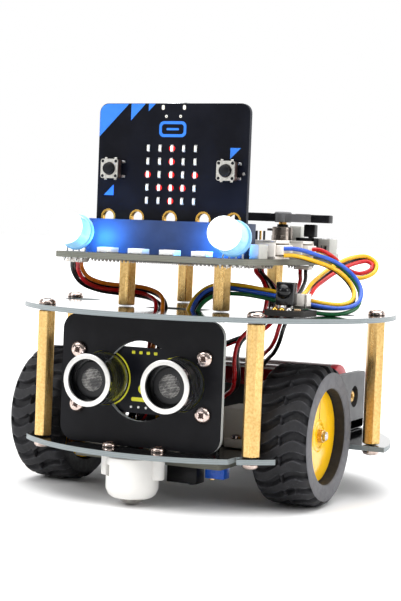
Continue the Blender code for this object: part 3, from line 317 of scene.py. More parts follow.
BLACK_BOARD = rgb(13, 14, 20)
M = {
    "deck": board_material("deck_board", rgb(11, 11, 12), rgb(126, 134, 136), "Z", 0.09),
    "panel": board_material("panel_board", rgb(17, 17, 20), rgb(176, 180, 180), "Y", 0.34, specular=0.14,
                            coat=0.0),
    "circuit": board_material("circuit_board", BLACK_BOARD, rgb(44, 46, 52), "Y", 0.28, specular=0.12,
                              coat=0.04),
    "carrier": board_material("carrier_board", rgb(16, 17, 19), rgb(112, 112, 102), "Z", 0.25, 0.3, 0.05),
    "small_board": board_material("small_board", rgb(14, 15, 17), rgb(40, 38, 36), "Z", 0.3, 0.3, 0.05),
    "black": plastic("black_plastic", rgb(15, 15, 17), 0.36, 1.6, 3.0, 0.12, specular=0.22),
    "gloss_black": plastic("gloss_black_plastic", rgb(10, 10, 12), 0.16, 1.6, 4.0, 0.04, coat=0.15,
                           specular=0.3),
    # Dark plastic tinted slate blue: the tint is painted light, the blue glow of the lamps in front of it.
    "connector": plastic("connector_plastic", rgb(52, 62, 84), 0.36, 1.25, 6.0, 0.05, specular=0.1),
    "holder": plastic("holder_plastic", rgb(52, 53, 56), 0.42, 1.4, 5.0, 0.16, specular=0.5),
    "white": plastic("white_plastic", rgb(236, 234, 230), 0.38, 1.03, 5.0, 0.06),
    "socket_white": plastic("socket_plastic", rgb(238, 232, 224), 0.42, 1.04, 2.0, 0.06),
    "bracket_white": plastic("bracket_plastic", rgb(214, 208, 198), 0.5, 1.05, 3.0, 0.1),
    "grey": plastic("grey_plastic", rgb(178, 178, 172), 0.45, 1.15, 2.0, 0.12),
    "knob_dark": plastic("knob_plastic", rgb(16, 16, 20), 0.4, 1.6, 3.0, 0.12, specular=0.2),
    # Lit copy of the knob's black plastic: painted light on its hub and right arm.
    "knob_lit": plastic("knob_lit_plastic", rgb(104, 104, 106), 0.4, 1.2, 3.0, 0.12),
    "yellow": plastic("hub_plastic", rgb(255, 196, 18), 0.2, 1.06, 6.0, 0.03, coat=0.5),
    "yellow_print": plastic("yellow_print", rgb(226, 222, 44), 0.45, 1.05, 0.8, 0.03),
    "blue_print": plastic("blue_print", rgb(36, 116, 214), 0.4, 1.1, 2.0, 0.03),
    "cell": plastic("cell_wrap", rgb(112, 6, 22), 0.22, 1.5, 8.0, 0.05, coat=0.5),
    "cell_end": plastic("cell_end_wrap", rgb(216, 52, 66), 0.35, 1.15, 3.0, 0.05),
    "white_line": plastic("white_line", rgb(224, 222, 222), 0.4, 1.03, 2.0, 0.03),
    "brass": brass_material("post_brass", (1, 1, 0.06), 0.5),
    "bronze": brass_material("short_post_brass", (1, 1, 0.06), 0.9),
    "brass_fitting": brass_material("fitting_brass", (1, 1, 1), 0.5),
    # Nickel plate; its pinkish-brown tint is a painted reflection.
    "nickel": metal("nickel_screw", rgb(214, 198, 190), 0.2, rgb(140, 112, 100), 0.9),
    # Painted shade: the dark brown of the screws' cross recesses.
    "recess_shade": plastic("screw_recess_shade", rgb(74, 52, 44), 0.4, 1.4, 0.6, 0.1),
    "steel": metal("polished_steel", rgb(196, 192, 188), 0.14, rgb(128, 120, 114), 2.0),
    "dull_steel": metal("dull_steel", rgb(150, 140, 132), 0.3, rgb(96, 88, 82), 2.0, (0.4, 0.4, 1.5)),
    "can": metal("can_aluminium", rgb(178, 180, 186), 0.24, rgb(128, 130, 136), 3.0, (0.12, 1.4, 0.12),
                 0.04),
    "rim": metal("rim_aluminium", rgb(232, 231, 228), 0.42, rgb(206, 204, 200), 1.5),
    "silver": metal("silver_plate", rgb(214, 216, 216), 0.28, rgb(150, 152, 152), 0.8),
    "gold": metal("gold_plate", rgb(232, 186, 92), 0.25, rgb(168, 118, 44), 0.9),
    "solder": metal("solder", rgb(200, 200, 198), 0.3, rgb(110, 108, 104), 0.5),
    "motor_can": metal("motor_can_steel", rgb(182, 182, 180), 0.3, rgb(108, 108, 108), 3.0, (0.3, 1, 1)),
    "button_metal": metal("button_steel", rgb(214, 212, 206), 0.36, rgb(150, 146, 138), 0.8),
    # Shaded copy of the button steel: its darker pinkish-brown is painted shade on the case's sides.
    "button_side_shade": metal("button_side_shaded_steel", rgb(128, 100, 98), 0.4, rgb(88, 66, 66), 1.0),
    "rubber": rubber_material(),
    "lit_side_wall": outer_face_lit_material(),
    "mesh": mesh_material(),
    "lamp": lamp_material("lamp_nose", rgb(240, 250, 255), (1.0, 1.0, 1.0), 1.2),
    "lamp_barrel": lamp_material("lamp_barrel", rgb(120, 170, 200), rgb(168, 224, 252), 0.55),
    "lamp_flange": lamp_material("lamp_flange", rgb(100, 150, 190), rgb(120, 184, 234), 0.5),
    "led_white": plastic("led_white", rgb(236, 230, 214), 0.35, 1.02, 0.8, 0.04),
    "led_red": lit("led_red", rgb(255, 204, 190), 1.15),
    # Painted light: the red glow a lit lamp throws on the board around it.
    "led_halo": lit("led_halo", rgb(214, 12, 14), 0.8),
    "led_clear": plastic("led_clear", rgb(250, 250, 248), 0.2, 1.02, 0.8, 0.04, coat=0.4),
    "trimmer_blue": plastic("trimmer_blue", rgb(24, 88, 198), 0.32, 1.3, 1.5, 0.06),
    "chip": plastic("chip_resin", rgb(26, 26, 28), 0.5, 1.5, 0.8, 0.15),
    "inductor": plastic("inductor_resin", rgb(206, 206, 200), 0.5, 1.08, 1.2, 0.1),
    "slit_shade": plastic("hub_slit", rgb(120, 78, 8), 0.5, 1.2, 1.0, 0.05),
    "tan": plastic("tan_part", rgb(190, 158, 120), 0.45, 1.2, 0.6, 0.08),
}
for colour, screen, spread, roughness in (
        ("red", (196, 16, 26), 1.35, 0.3), ("black", (16, 16, 18), 1.8, 0.28),
        ("blue", (34, 84, 190), 1.35, 0.3),
        ("green", (20, 112, 60), 1.35, 0.3), ("yellow", (240, 186, 22), 1.1, 0.3),
        ("orange", (232, 128, 20), 1.2, 0.3)):
    M["wire_" + colour] = plastic("wire_" + colour, rgb(*screen), roughness, spread, 4.0, 0.05, coat=0.3)


# ------------------------------------------------------------------ making pieces
class Piece:
    """Gathers solids, each with its own material, into one mesh that rides on a body."""

    def __init__(self, name, stands_for=(), body="chassis", slot=None):
        self.name = name
        self.stands_for = stands_for
        self.body = body
        self.slot = slot
        self.builder = bmesh.new()
        self.materials = []

    def index(self, material):
        if material not in self.materials:
            self.materials.append(material)
        return self.materials.index(material)

    def take(self, part, material, place=None):
        """Move a finished solid, a bmesh, into this piece."""
        if place is not None:
            part.transform(place)
        bmesh.ops.recalc_face_normals(part, faces=part.faces)
        index = self.index(material)
        for face in part.faces:
            face.material_index = index
        mesh = bpy.data.meshes.new("part")
        part.to_mesh(mesh)
        part.free()
        self.builder.from_mesh(mesh)
        bpy.data.meshes.remove(mesh)
        return self

    def block(self, low, high, material, round=0.2, segments=2, place=None):
        low, high = Vector(low), Vector(high)
        part = bmesh.new()
        bmesh.ops.create_cube(part, size=1.0)
        bmesh.ops.scale(part, vec=high - low, verts=part.verts)
        if round:
            bmesh.ops.bevel(part, geom=part.edges[:], offset=round, segments=segments, profile=0.5,
                            affect="EDGES")
        bmesh.ops.translate(part, vec=(low + high) / 2, verts=part.verts)
        return self.take(part, material, place)

    def turned(self, profile, place, material, steps=48):
        """An open or closed (radius, height) profile spun about local Z."""
        part = bmesh.new()
        rings = []
        for radius, height in profile:
            if radius < 1e-6:
                rings.append([part.verts.new((0, 0, height))])
                continue
            rings.append([part.verts.new((x, y, height)) for x, y in ring(radius, steps)])
        for first, second in zip(rings, rings[1:]):
            self.skin(part, first, second, steps)
        return self.take(part, material, place)

    @staticmethod
    def skin(part, first, second, steps):
        for i in range(steps):
            j = (i + 1) % steps
            if len(first) == 1 and len(second) == 1:
                continue
            if len(first) == 1:
                part.faces.new((first[0], second[i], second[j]))
            elif len(second) == 1:
                part.faces.new((first[i], first[j], second[0]))
            else:
                part.faces.new((first[i], first[j], second[j], second[i]))

    def rod(self, start, end, radius, material, steps=20, round=0.1):
        start, end = Vector(start), Vector(end)
        length = (end - start).length
        profile = [(0, 0), (radius - round, 0), (radius, round), (radius, length - round),
                   (radius - round, length), (0, length)]
        return self.turned(profile, facing(end - start, start), material, steps)

    def tube(self, points, radius, material, steps=10):
        """A round wire along points, with its cross-section carried along without twisting."""
        part = bmesh.new()
        points = [Vector(point) for point in points]
        side = Vector((0.13, 0.21, 1.0))
        rings = []
        for i, point in enumerate(points):
            ahead = (points[min(i + 1, len(points) - 1)] - points[max(i - 1, 0)]).normalized()
            side = side - ahead * side.dot(ahead)
            side = side.normalized() if side.length > 1e-6 else ahead.orthogonal().normalized()
            up = ahead.cross(side)
            rings.append([part.verts.new(point + (side * math.cos(math.tau * k / steps)
                                                  + up * math.sin(math.tau * k / steps)) * radius)
                          for k in range(steps)])
        for first, second in zip(rings, rings[1:]):
            self.skin(part, first, second, steps)
        part.faces.new(rings[0])
        part.faces.new(rings[-1])
        return self.take(part, material)

    def plate(self, outline, low, high, material, place=None, holes=()):
        """A flat plate between two heights, with round or other holes."""
        part = bmesh.new()
        for loop in (outline, *holes):
            points = [part.verts.new((x, y, low)) for x, y in loop]
            for first, second in zip(points, points[1:] + points[:1]):
                part.edges.new((first, second))
        bmesh.ops.triangle_fill(part, use_beauty=True, use_dissolve=False, edges=part.edges[:])
        lifted = bmesh.ops.extrude_face_region(part, geom=part.faces[:])
        bmesh.ops.translate(part, vec=(0, 0, high - low),
                            verts=[item for item in lifted["geom"] if isinstance(item, bmesh.types.BMVert)])
        return self.take(part, material, place)

    def screw(self, place, radius=2.75, height=1.7, material="nickel", slot_size=0.42, turn=0.0):
        """A pan-head screw with a cross recess drawn as dark bars of painted shade; local +Z is out of the
        head.
        """
        dome = [(0.0, height - 0.9), (0.25, height - 0.9), (0.8, height * 0.93),
                (radius * 0.55, height * 0.97),
                (radius * 0.8, height * 0.82), (radius * 0.96, height * 0.5), (radius, height * 0.12),
                (radius * 0.97, 0.0), (0.0, 0.0)]
        self.turned(dome, place, material, 24)
        recess_shade = place @ Matrix.Rotation(turn, 4, "Z")
        # The cross recess: two dark bars of painted shade standing for the shaded hollow.
        for angle in (0.0, math.pi / 2):
            self.block((-radius * 0.46, -slot_size / 2, height - 0.55),
                       (radius * 0.46, slot_size / 2, height + 0.02),
                       "recess_shade", 0.05, 1, recess_shade @ Matrix.Rotation(angle, 4, "Z"))
        return self

    def nut(self, place, across, height, material):
        return self.plate(ring(across / math.sqrt(3), 6), 0, height, material, place, [ring(1.35, 12)])

    def make(self, smooth=35.0):
        mesh = bpy.data.meshes.new(self.name)
        self.builder.to_mesh(mesh)
        self.builder.free()
        mesh.transform(Matrix.Scale(MM, 4))
        for material in self.materials:
            mesh.materials.append(M[material])
        mesh.shade_smooth()
        mesh.set_sharp_from_angle(angle=math.radians(smooth))
        obj = bpy.data.objects.new(self.name, mesh)
        scene.collection.objects.link(obj)
        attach(obj, self.body)
        if self.stands_for:
            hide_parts(*self.stands_for)
        return obj


def facing(direction, origin=(0, 0, 0)):
    """A placement that takes local +Z to a direction and the local origin to a point."""
    turn = Vector((0, 0, 1)).rotation_difference(Vector(direction)).to_matrix().to_4x4()
    return Matrix.Translation(Vector(origin)) @ turn


def at(x, y, z):
    return Matrix.Translation((x, y, z))


def ring(radius, steps, centre=(0, 0)):
    """Points around a circle, in the plate's own plane."""
    return [(centre[0] + radius * math.cos(math.tau * i / steps),
             centre[1] + radius * math.sin(math.tau * i / steps)) for i in range(steps)]


def rounded(low, high, radius, steps=8):
    """A rectangle with round corners, in the plate's own plane."""
    points = []
    for x, y, angle in ((high[0], high[1], 0), (low[0], high[1], 90), (low[0], low[1], 180),
                        (high[0], low[1], 270)):
        centre_x = x - radius if x == high[0] else x + radius
        centre_y = y - radius if y == high[1] else y + radius
        points += [(centre_x + radius * math.cos(math.radians(angle + 90 * step / steps)),
                    centre_y + radius * math.sin(math.radians(angle + 90 * step / steps)))
                   for step in range(steps + 1)]
    return points


UPRIGHT = Matrix.Rotation(math.radians(90), 4, "X")     # a plate's plane to X and Z; its +Z to -Y


def upright(y):
    """Places a plate's outline in X and Z, with the plate's low side towards the rear at this y."""
    return Matrix.Translation((0, y, 0)) @ UPRIGHT


# ------------------------------------------------------------------ decks, posts and panel
DECK_RADIUS = span("upper_deck")[1].x
LOWER_LOW, LOWER_HIGH = span("lower_deck")[0].z, span("lower_deck")[1].z
UPPER_LOW, UPPER_HIGH = span("upper_deck")[0].z, span("upper_deck")[1].z
CARRIER_LOW, CARRIER_HIGH = span("carrier_board")[0].z, span("socket_front")[0].z
LONG_POSTS = [f"long_post_{row}_{side}" for row in ("front", "side") for side, _ in SIDES]
SHORT_POSTS = [f"short_post_{row}_{side}" for row in ("front", "rear") for side, _ in SIDES]
POST_ACROSS = 5.0
POST_CORNER_CUT = 4.0
BRACKET_X = 24.0
BRACKET_ENDS = (17.8, 30.0)
BRACKET_SCREWS = 9.5
DECK_SLOT = {"inner": 31.2, "outer": 33.4, "end": -46.2}
NOTCH = {"x": 31.0, "front": -43.6, "rear": 2.8}
CASTERS = {end: middle(end + "_caster_ball") for end in ("front", "rear")}
CASTER_SCREW_X = 8.2


def lower_outline():
    """The lower deck's edge: round, with a notch for each wheel and a slot by the left front post."""
    front, rear = (math.asin(NOTCH[end] / DECK_RADIUS) for end in ("front", "rear"))
    slot = [-math.acos(DECK_SLOT[edge] / DECK_RADIUS) for edge in ("inner", "outer")]

    def arc(start, end, steps):
        return [(DECK_RADIUS * math.cos(start + (end - start) * i / steps),
                 DECK_RADIUS * math.sin(start + (end - start) * i / steps)) for i in range(steps + 1)]

    return (arc(rear, math.pi - rear, 120) + [(-NOTCH["x"], NOTCH["rear"]), (-NOTCH["x"], NOTCH["front"])]
            + arc(math.pi - front, slot[0] + math.tau, 60)
            + [(DECK_SLOT[edge], DECK_SLOT["end"]) for edge in ("inner", "outer")]
            + arc(slot[1], front, 12) + [(NOTCH["x"], NOTCH["front"]), (NOTCH["x"], NOTCH["rear"])])


def make_decks():
    long_holes = [ring(SCREW_HOLE, 20, middle(post).xy) for post in LONG_POSTS]
    caster_holes = [ring(SCREW_HOLE, 20, (side * CASTER_SCREW_X, ball.y)) for ball in CASTERS.values()
                    for side in (-1, 1)]
    bracket_y = middle("motor_bracket_left").y
    bracket_holes = [ring(SCREW_HOLE, 20, (side * BRACKET_X, bracket_y + end * BRACKET_SCREWS))
                     for side in (-1, 1) for end in (-1, 1)]
    lead_hole = [rounded((-6.5, -36.2), (6.5, -29.6), 1.0)]
    deck = Piece("lower_deck_board", ["lower_deck"], slot="deck")
    deck.plate(lower_outline(), LOWER_LOW, LOWER_HIGH, "deck", holes=long_holes + caster_holes
               + bracket_holes + lead_hole)
    deck.make(30)
    openings = [rounded((-8.5, -33.0), (10.5, -20.5), 3.0), rounded((21.8, -17.2), (35.2, -9.2), 3.0),
                ring(6.0, 48, (-45.6, -5.0)), ring(6.0, 48, (45.6, -5.0))]
    short_holes = [ring(SCREW_HOLE, 20, middle(post).xy) for post in SHORT_POSTS]
    deck = Piece("upper_deck_board", ["upper_deck"], slot="deck")
    deck.plate(ring(DECK_RADIUS, 240), UPPER_LOW, UPPER_HIGH, "deck", holes=long_holes + short_holes
               + openings)
    deck.make(30)


def hex_outline():
    """A hexagon whose corners are narrow flats, which catch the light as turned bar does."""
    corner = POST_ACROSS / math.sqrt(3) * 0.985
    angles = [math.radians(60 * i + side * POST_CORNER_CUT) for i in range(6) for side in (-1, 1)]
    return [(corner * math.cos(angle), corner * math.sin(angle)) for angle in angles]


def make_posts():
    for name in LONG_POSTS + SHORT_POSTS:
        low, high = span(name)
        x, y = middle(name).xy
        bar = "brass" if name in LONG_POSTS else "bronze"
        post = Piece(name + "_bar", [name], slot="brass")
        post.plate(hex_outline(), low.z + 0.25, high.z - 0.25, bar, at(x, y, 0), [ring(1.25, 16)])
        for z, lift in ((low.z, 0.28), (high.z, -0.28)):
            post.turned([(1.25, z), (2.35, z), (2.5, z + lift), (1.25, z + lift)], at(x, y, 0), bar, 30)
        # A black lining in the bore: painted shade inside the hole.
        post.turned([(1.2, low.z + 0.4), (1.2, high.z - 0.4)], at(x, y, 0), "chip", 16)
        post.make(20)
    for name in LONG_POSTS:
        x, y = middle(name).xy
        screws = Piece(name + "_screws", slot="steel")
        screws.screw(at(x, y, UPPER_HIGH + SHEET_GAP), turn=0.4 + x)
        screws.screw(facing((0, 0, -1), (x, y, LOWER_LOW - SHEET_GAP)), turn=0.9 + y)
        screws.make()
    for name in SHORT_POSTS:
        x, y = middle(name).xy
        screws = Piece(name + "_screws", slot="steel")
        screws.screw(facing((0, 0, -1), (x, y, UPPER_LOW - SHEET_GAP)), turn=0.7 + x)
        if "rear" in name:
            screws.screw(at(x, y, CARRIER_HIGH + SHEET_GAP), turn=1.1 + y)
        screws.make()


SONAR_Z = middle("sonar_can_left").z
SONAR_X = middle("sonar_can_left").x
PANEL_HOLES = [(side * 21.25, SONAR_Z + rise) for side in (-1, 1) for rise in (-8.5, 8.3)]


def window_outline(middle_radius=12.2, can_radius=8.4, steps=32):
    """The panel's window: a middle circle joined to the two transducers' holes."""
    meet = (SONAR_X ** 2 + middle_radius ** 2 - can_radius ** 2) / (2 * SONAR_X)
    inner, outer = math.acos(meet / middle_radius), math.acos((SONAR_X - meet) / can_radius)
    points = []
    for side, turn in ((1, 0.0), (-1, math.pi)):
        for step in range(steps + 1):
            angle = turn - (math.pi - outer) + 2 * (math.pi - outer) * step / steps
            points.append((side * SONAR_X + can_radius * math.cos(angle), SONAR_Z
                           + can_radius * math.sin(angle)))
        for step in range(1, steps):
            angle = turn + inner + (math.pi - 2 * inner) * step / steps
            points.append((middle_radius * math.cos(angle), SONAR_Z + middle_radius * math.sin(angle)))
    return points


def make_panel():
    low, high = span("front_panel")
    panel = Piece("front_panel_board", ["front_panel"], slot="panel")
    outline = rounded((low.x, low.z), (high.x, high.z), 5.0, 14)
    panel.plate(outline, 0, high.y - low.y, "panel", upright(high.y),
                [window_outline()] + [ring(SCREW_HOLE, 20, hole) for hole in PANEL_HOLES])
    panel.make(30)
    screws = Piece("front_panel_screws", slot="steel")
    for i, (x, z) in enumerate(PANEL_HOLES):
        screws.screw(facing((0, -1, 0), (x, low.y - 0.02, z)), 2.6, 1.6, turn=0.5 + 1.7 * i)
        screws.nut(facing((0, 1, 0), (x, span("sonar_board")[1].y + 0.05, z)), 4.0, 1.6, "nickel")
        screws.rod((x, low.y, z), (x, span("sonar_board")[1].y + 2.4, z), 0.95, "nickel", 12)
    screws.make()


# ------------------------------------------------------------------ ranger
def make_sonar():
    low, high = span("sonar_board")
    front = low.y
    board = Piece("sonar_circuit", ["sonar_board"], slot="board")
    board.plate(rounded((low.x, low.z), (high.x, high.z), 1.0), 0, high.y - low.y, "circuit",
                upright(high.y),
                [ring(1.0, 16, (hole[0] * 0.993, hole[1])) for hole in PANEL_HOLES])
    board.make(30)
    prints = Piece("sonar_printing", slot="board")
    for _, side in SIDES:
        prints.plate(ring(8.75, 64, (side * SONAR_X, SONAR_Z)), 0.02, 0.06, "yellow_print", upright(front),
                     [ring(8.3, 64, (side * SONAR_X, SONAR_Z))])
    for i in range(4):
        prints.plate(rounded((-4.1 + 2.5 * i, SONAR_Z + 8.0), (-3.0 + 2.5 * i, SONAR_Z + 8.9), 0.2, 2), 0.02,
                     0.06,
                     "yellow_print", upright(front))
    prints.plate(rounded((-3.8, SONAR_Z - 6.4), (3.8, SONAR_Z - 5.2), 0.5, 4), 0.02, 0.06, "yellow_print",
                 upright(front))
    prints.plate(ring(1.5, 24, (0, SONAR_Z - 2.6)), 0.02, 0.06, "yellow_print", upright(front),
                 [ring(0.9, 24, (0, SONAR_Z - 2.6))])
    prints.make(30)
    parts = Piece("sonar_components", slot="black")
    for x, z, width, height, deep, kind in ((-8.5, 3.0, 5.0, 4.4, 1.5, "chip"),
                                            (2.0, 4.2, 5.0, 4.0, 1.5, "chip"),
                                            (9.0, -1.0, 8.6, 3.9, 1.5, "chip"),
                                            (-14.5, -3.0, 3.6, 1.7, 0.9, "silver"),
                                            (15.5, 5.0, 1.8, 1.1, 0.6, "tan"),
                                            (-2.5, -2.0, 1.8, 1.1, 0.6, "tan")):
        parts.block((x - width / 2, high.y + 0.05, SONAR_Z + z - height / 2),
                    (x + width / 2, high.y + 0.05 + deep, SONAR_Z + z + height / 2), kind, 0.15)
    for i in range(4):
        parts.rod((-3.8 + 2 * PIN_PITCH * i, front - 0.1, SONAR_Z - 8.2),
                  (-3.8 + 2 * PIN_PITCH * i, high.y + 1.6, SONAR_Z - 8.2), 0.45,
                  "solder", 10)
    parts.make()
    for label, side in SIDES:
        node = "sonar_can_" + label
        low, high = span(node)
        length = high.y - low.y
        place = facing((0, -1, 0), (side * SONAR_X, high.y, SONAR_Z))
        can = Piece(node + "_shell", [node], slot="can")
        can.turned([(8.0, 0.0), (8.0, 0.5), (7.9, 0.6), (7.9, length - 2.2), (8.0, length - 1.9),
                    (8.0, length - 0.25)],
                   place, "can", 72)
        can.turned([(8.0, length - 0.3), (7.93, length - 0.08), (7.75, length), (6.5, length),
                    (6.42, length - 0.1),
                    (6.4, length - 0.7)], place, "rim", 72)
        can.turned([(6.4, length - 0.65), (6.38, length - 4.0), (5.6, length - 4.1), (5.6, length - 3.8),
                    (4.2, length - 3.6)], place, "gloss_black", 72)
        can.turned([(8.0, 0.0), (0.0, 0.0)], place, "can", 72)
        can.turned([(5.7, length - 3.9), (5.3, length - 3.6), (4.4, length - 3.5), (3.5, length - 3.4)],
                   place, "chip", 72)
        can.turned([(3.6, length - 3.45), (3.2, length - 3.2), (2.0, length - 3.05), (0.0, length - 3.0)],
                   place,
                   "mesh", 72)
        can.make(30)


# ------------------------------------------------------------------ wheels, casters and motors
TREAD_PITCHES = 22
TREAD_DEPTH = 1.5
HUB_FACE = 5.5
CASTER_CAVITY = 5.3
CASTER_SLOT = (9.0, 12.4)
BALL_RADIUS = 5.0


def tread_depth(angle, across, half):
    """How deep the tread is cut, 0 to 1: two rows of wavy bars with a thin wall between them."""
    place = across / half - 0.1
    if abs(place) < 0.045:
        return 0.0
    wave = 0.46 * math.sin(2.6 * place) - 0.30 * place * place
    shift = 0.0 if place > 0 else 0.16
    phase = (angle / math.tau * TREAD_PITCHES + wave + shift) % 1.0
    edge = max(0.0, min(1.0, (0.46 - abs(phase - 0.5) / 0.5) / 0.12))
    return edge * edge * (3 - 2 * edge)


def make_tyre(label, side):
    node = "tyre_" + label
    low, high = span(node)
    centre = (low + high) / 2
    radius = (high.z - low.z) / 2
    half = (high.x - low.x) / 2
    place = facing((side, 0, 0), centre)
    crown = []
    for step in range(41):
        across = -half * 0.985 + 2 * half * 0.985 * step / 40
        lift = abs(across) / half
        crown.append((radius - 0.10 - 0.42 * lift ** 3 - 1.75 * max(0.0, lift - 0.72) ** 2 / 0.0784, across))
    steps = TREAD_PITCHES * 22
    part = bmesh.new()
    rings = []
    for ring_radius, across in crown:
        row = []
        edge = max(0.0, min(1.0, (half - abs(across)) / 0.55))
        for i in range(steps):
            angle = math.tau * i / steps
            cut = TREAD_DEPTH * tread_depth(angle, across, half) * (edge if across < 0
                                                                    else min(1.0, edge * 1.5))
            bulge = 0.05 * math.sin(5 * angle + across)
            reach = ring_radius - cut + bulge
            row.append(part.verts.new((reach * math.cos(angle), reach * math.sin(angle), across)))
        rings.append(row)
    for first, second in zip(rings, rings[1:]):
        Piece.skin(part, first, second, steps)
    tyre = Piece(node + "_tread", [node], "wheel_" + label, "tyre")
    tyre.take(part, "rubber", place)
    top_outer, top_inner = crown[-1][0], crown[0][0]
    # The outer face takes the paler rubber: painted light where the face is lit.
    tyre.turned([(top_outer - 0.02, half * 0.985), (top_outer - 0.5, half - 0.02), (19.0, half),
                 (15.6, half), (15.0, half - 0.15),
                 (14.75, half - 0.5)], place, "lit_side_wall", 144)
    tyre.turned([(14.76, half - 0.45), (14.75, 6.0), (14.9, -half + 1.0), (15.1, -half + 0.2), (15.6, -half),
                 (19.0, -half),
                 (top_inner - 0.5, -half + 0.02), (top_inner - 0.02, -half * 0.985)], place, "rubber", 144)
    tyre.make(38)


def make_hub(label, side):
    node = "hub_" + label
    centre = middle("tyre_" + label)
    place = facing((side, 0, 0), centre)
    hub = Piece(node + "_moulding", [node], "wheel_" + label, "yellow")
    face = HUB_FACE
    hub.turned([(1.75, face), (1.75, face + 0.15), (3.4, face + 0.15), (3.6, face), (4.6, face - 0.05),
                (4.8, face - 0.3),
                (5.0, face - 0.05), (9.0, face), (13.6, face), (14.2, face - 0.1), (14.4, face - 0.4),
                (14.4, -7.9),
                (14.2, -8.05), (13.1, -8.05), (13.0, -7.9), (13.0, 2.7), (3.6, 2.7), (3.6, -0.6),
                (1.8, -0.6),
                (1.75, face)], place, "yellow", 96)
    for turn in range(6):
        hub.block((3.5, -0.5, 0.8), (13.1, 0.5, 2.8), "yellow", 0.1, 1, place
                  @ Matrix.Rotation(math.tau * turn / 6, 4, "Z"))
    # A dark strip across the hub face: painted shade standing for a slit.
    slit = sorted((-side * 5.2, -side * 10.6))
    hub.block((slit[0], -0.2, face - 0.2), (slit[1], 0.2, face + 0.04), "slit_shade", 0.06, 1, place)
    hub.make(35)
    low, high = span("axle_" + label)
    axle = Piece("axle_" + label + "_shaft", ["axle_" + label], "wheel_" + label, "steel")
    ends = (low.x, high.x) if side > 0 else (high.x, low.x)
    flat = [(1.48 * math.cos(t), 1.48 * math.sin(t))
            for t in (math.radians(50 + 280 * i / 28) for i in range(29))]
    length = abs(ends[1] - ends[0])
    axle.plate(flat, 0, length - 0.15, "steel", facing((side, 0, 0), (ends[0], centre.y, centre.z)))
    axle.turned([(1.2, 0), (1.05, 0.14), (0, 0.15)],
                facing((side, 0, 0), (ends[1] - side * 0.16, centre.y, centre.z)), "steel", 24)
    collar = [(1.5, 0.0), (1.95, 0.0), (2.0, 0.1), (2.0, 1.5), (1.9, 1.65), (1.5, 1.7)]
    axle.turned(collar, facing((side, 0, 0), (centre.x + side * face, centre.y, centre.z)), "brass_fitting",
                32)
    axle.make(30)


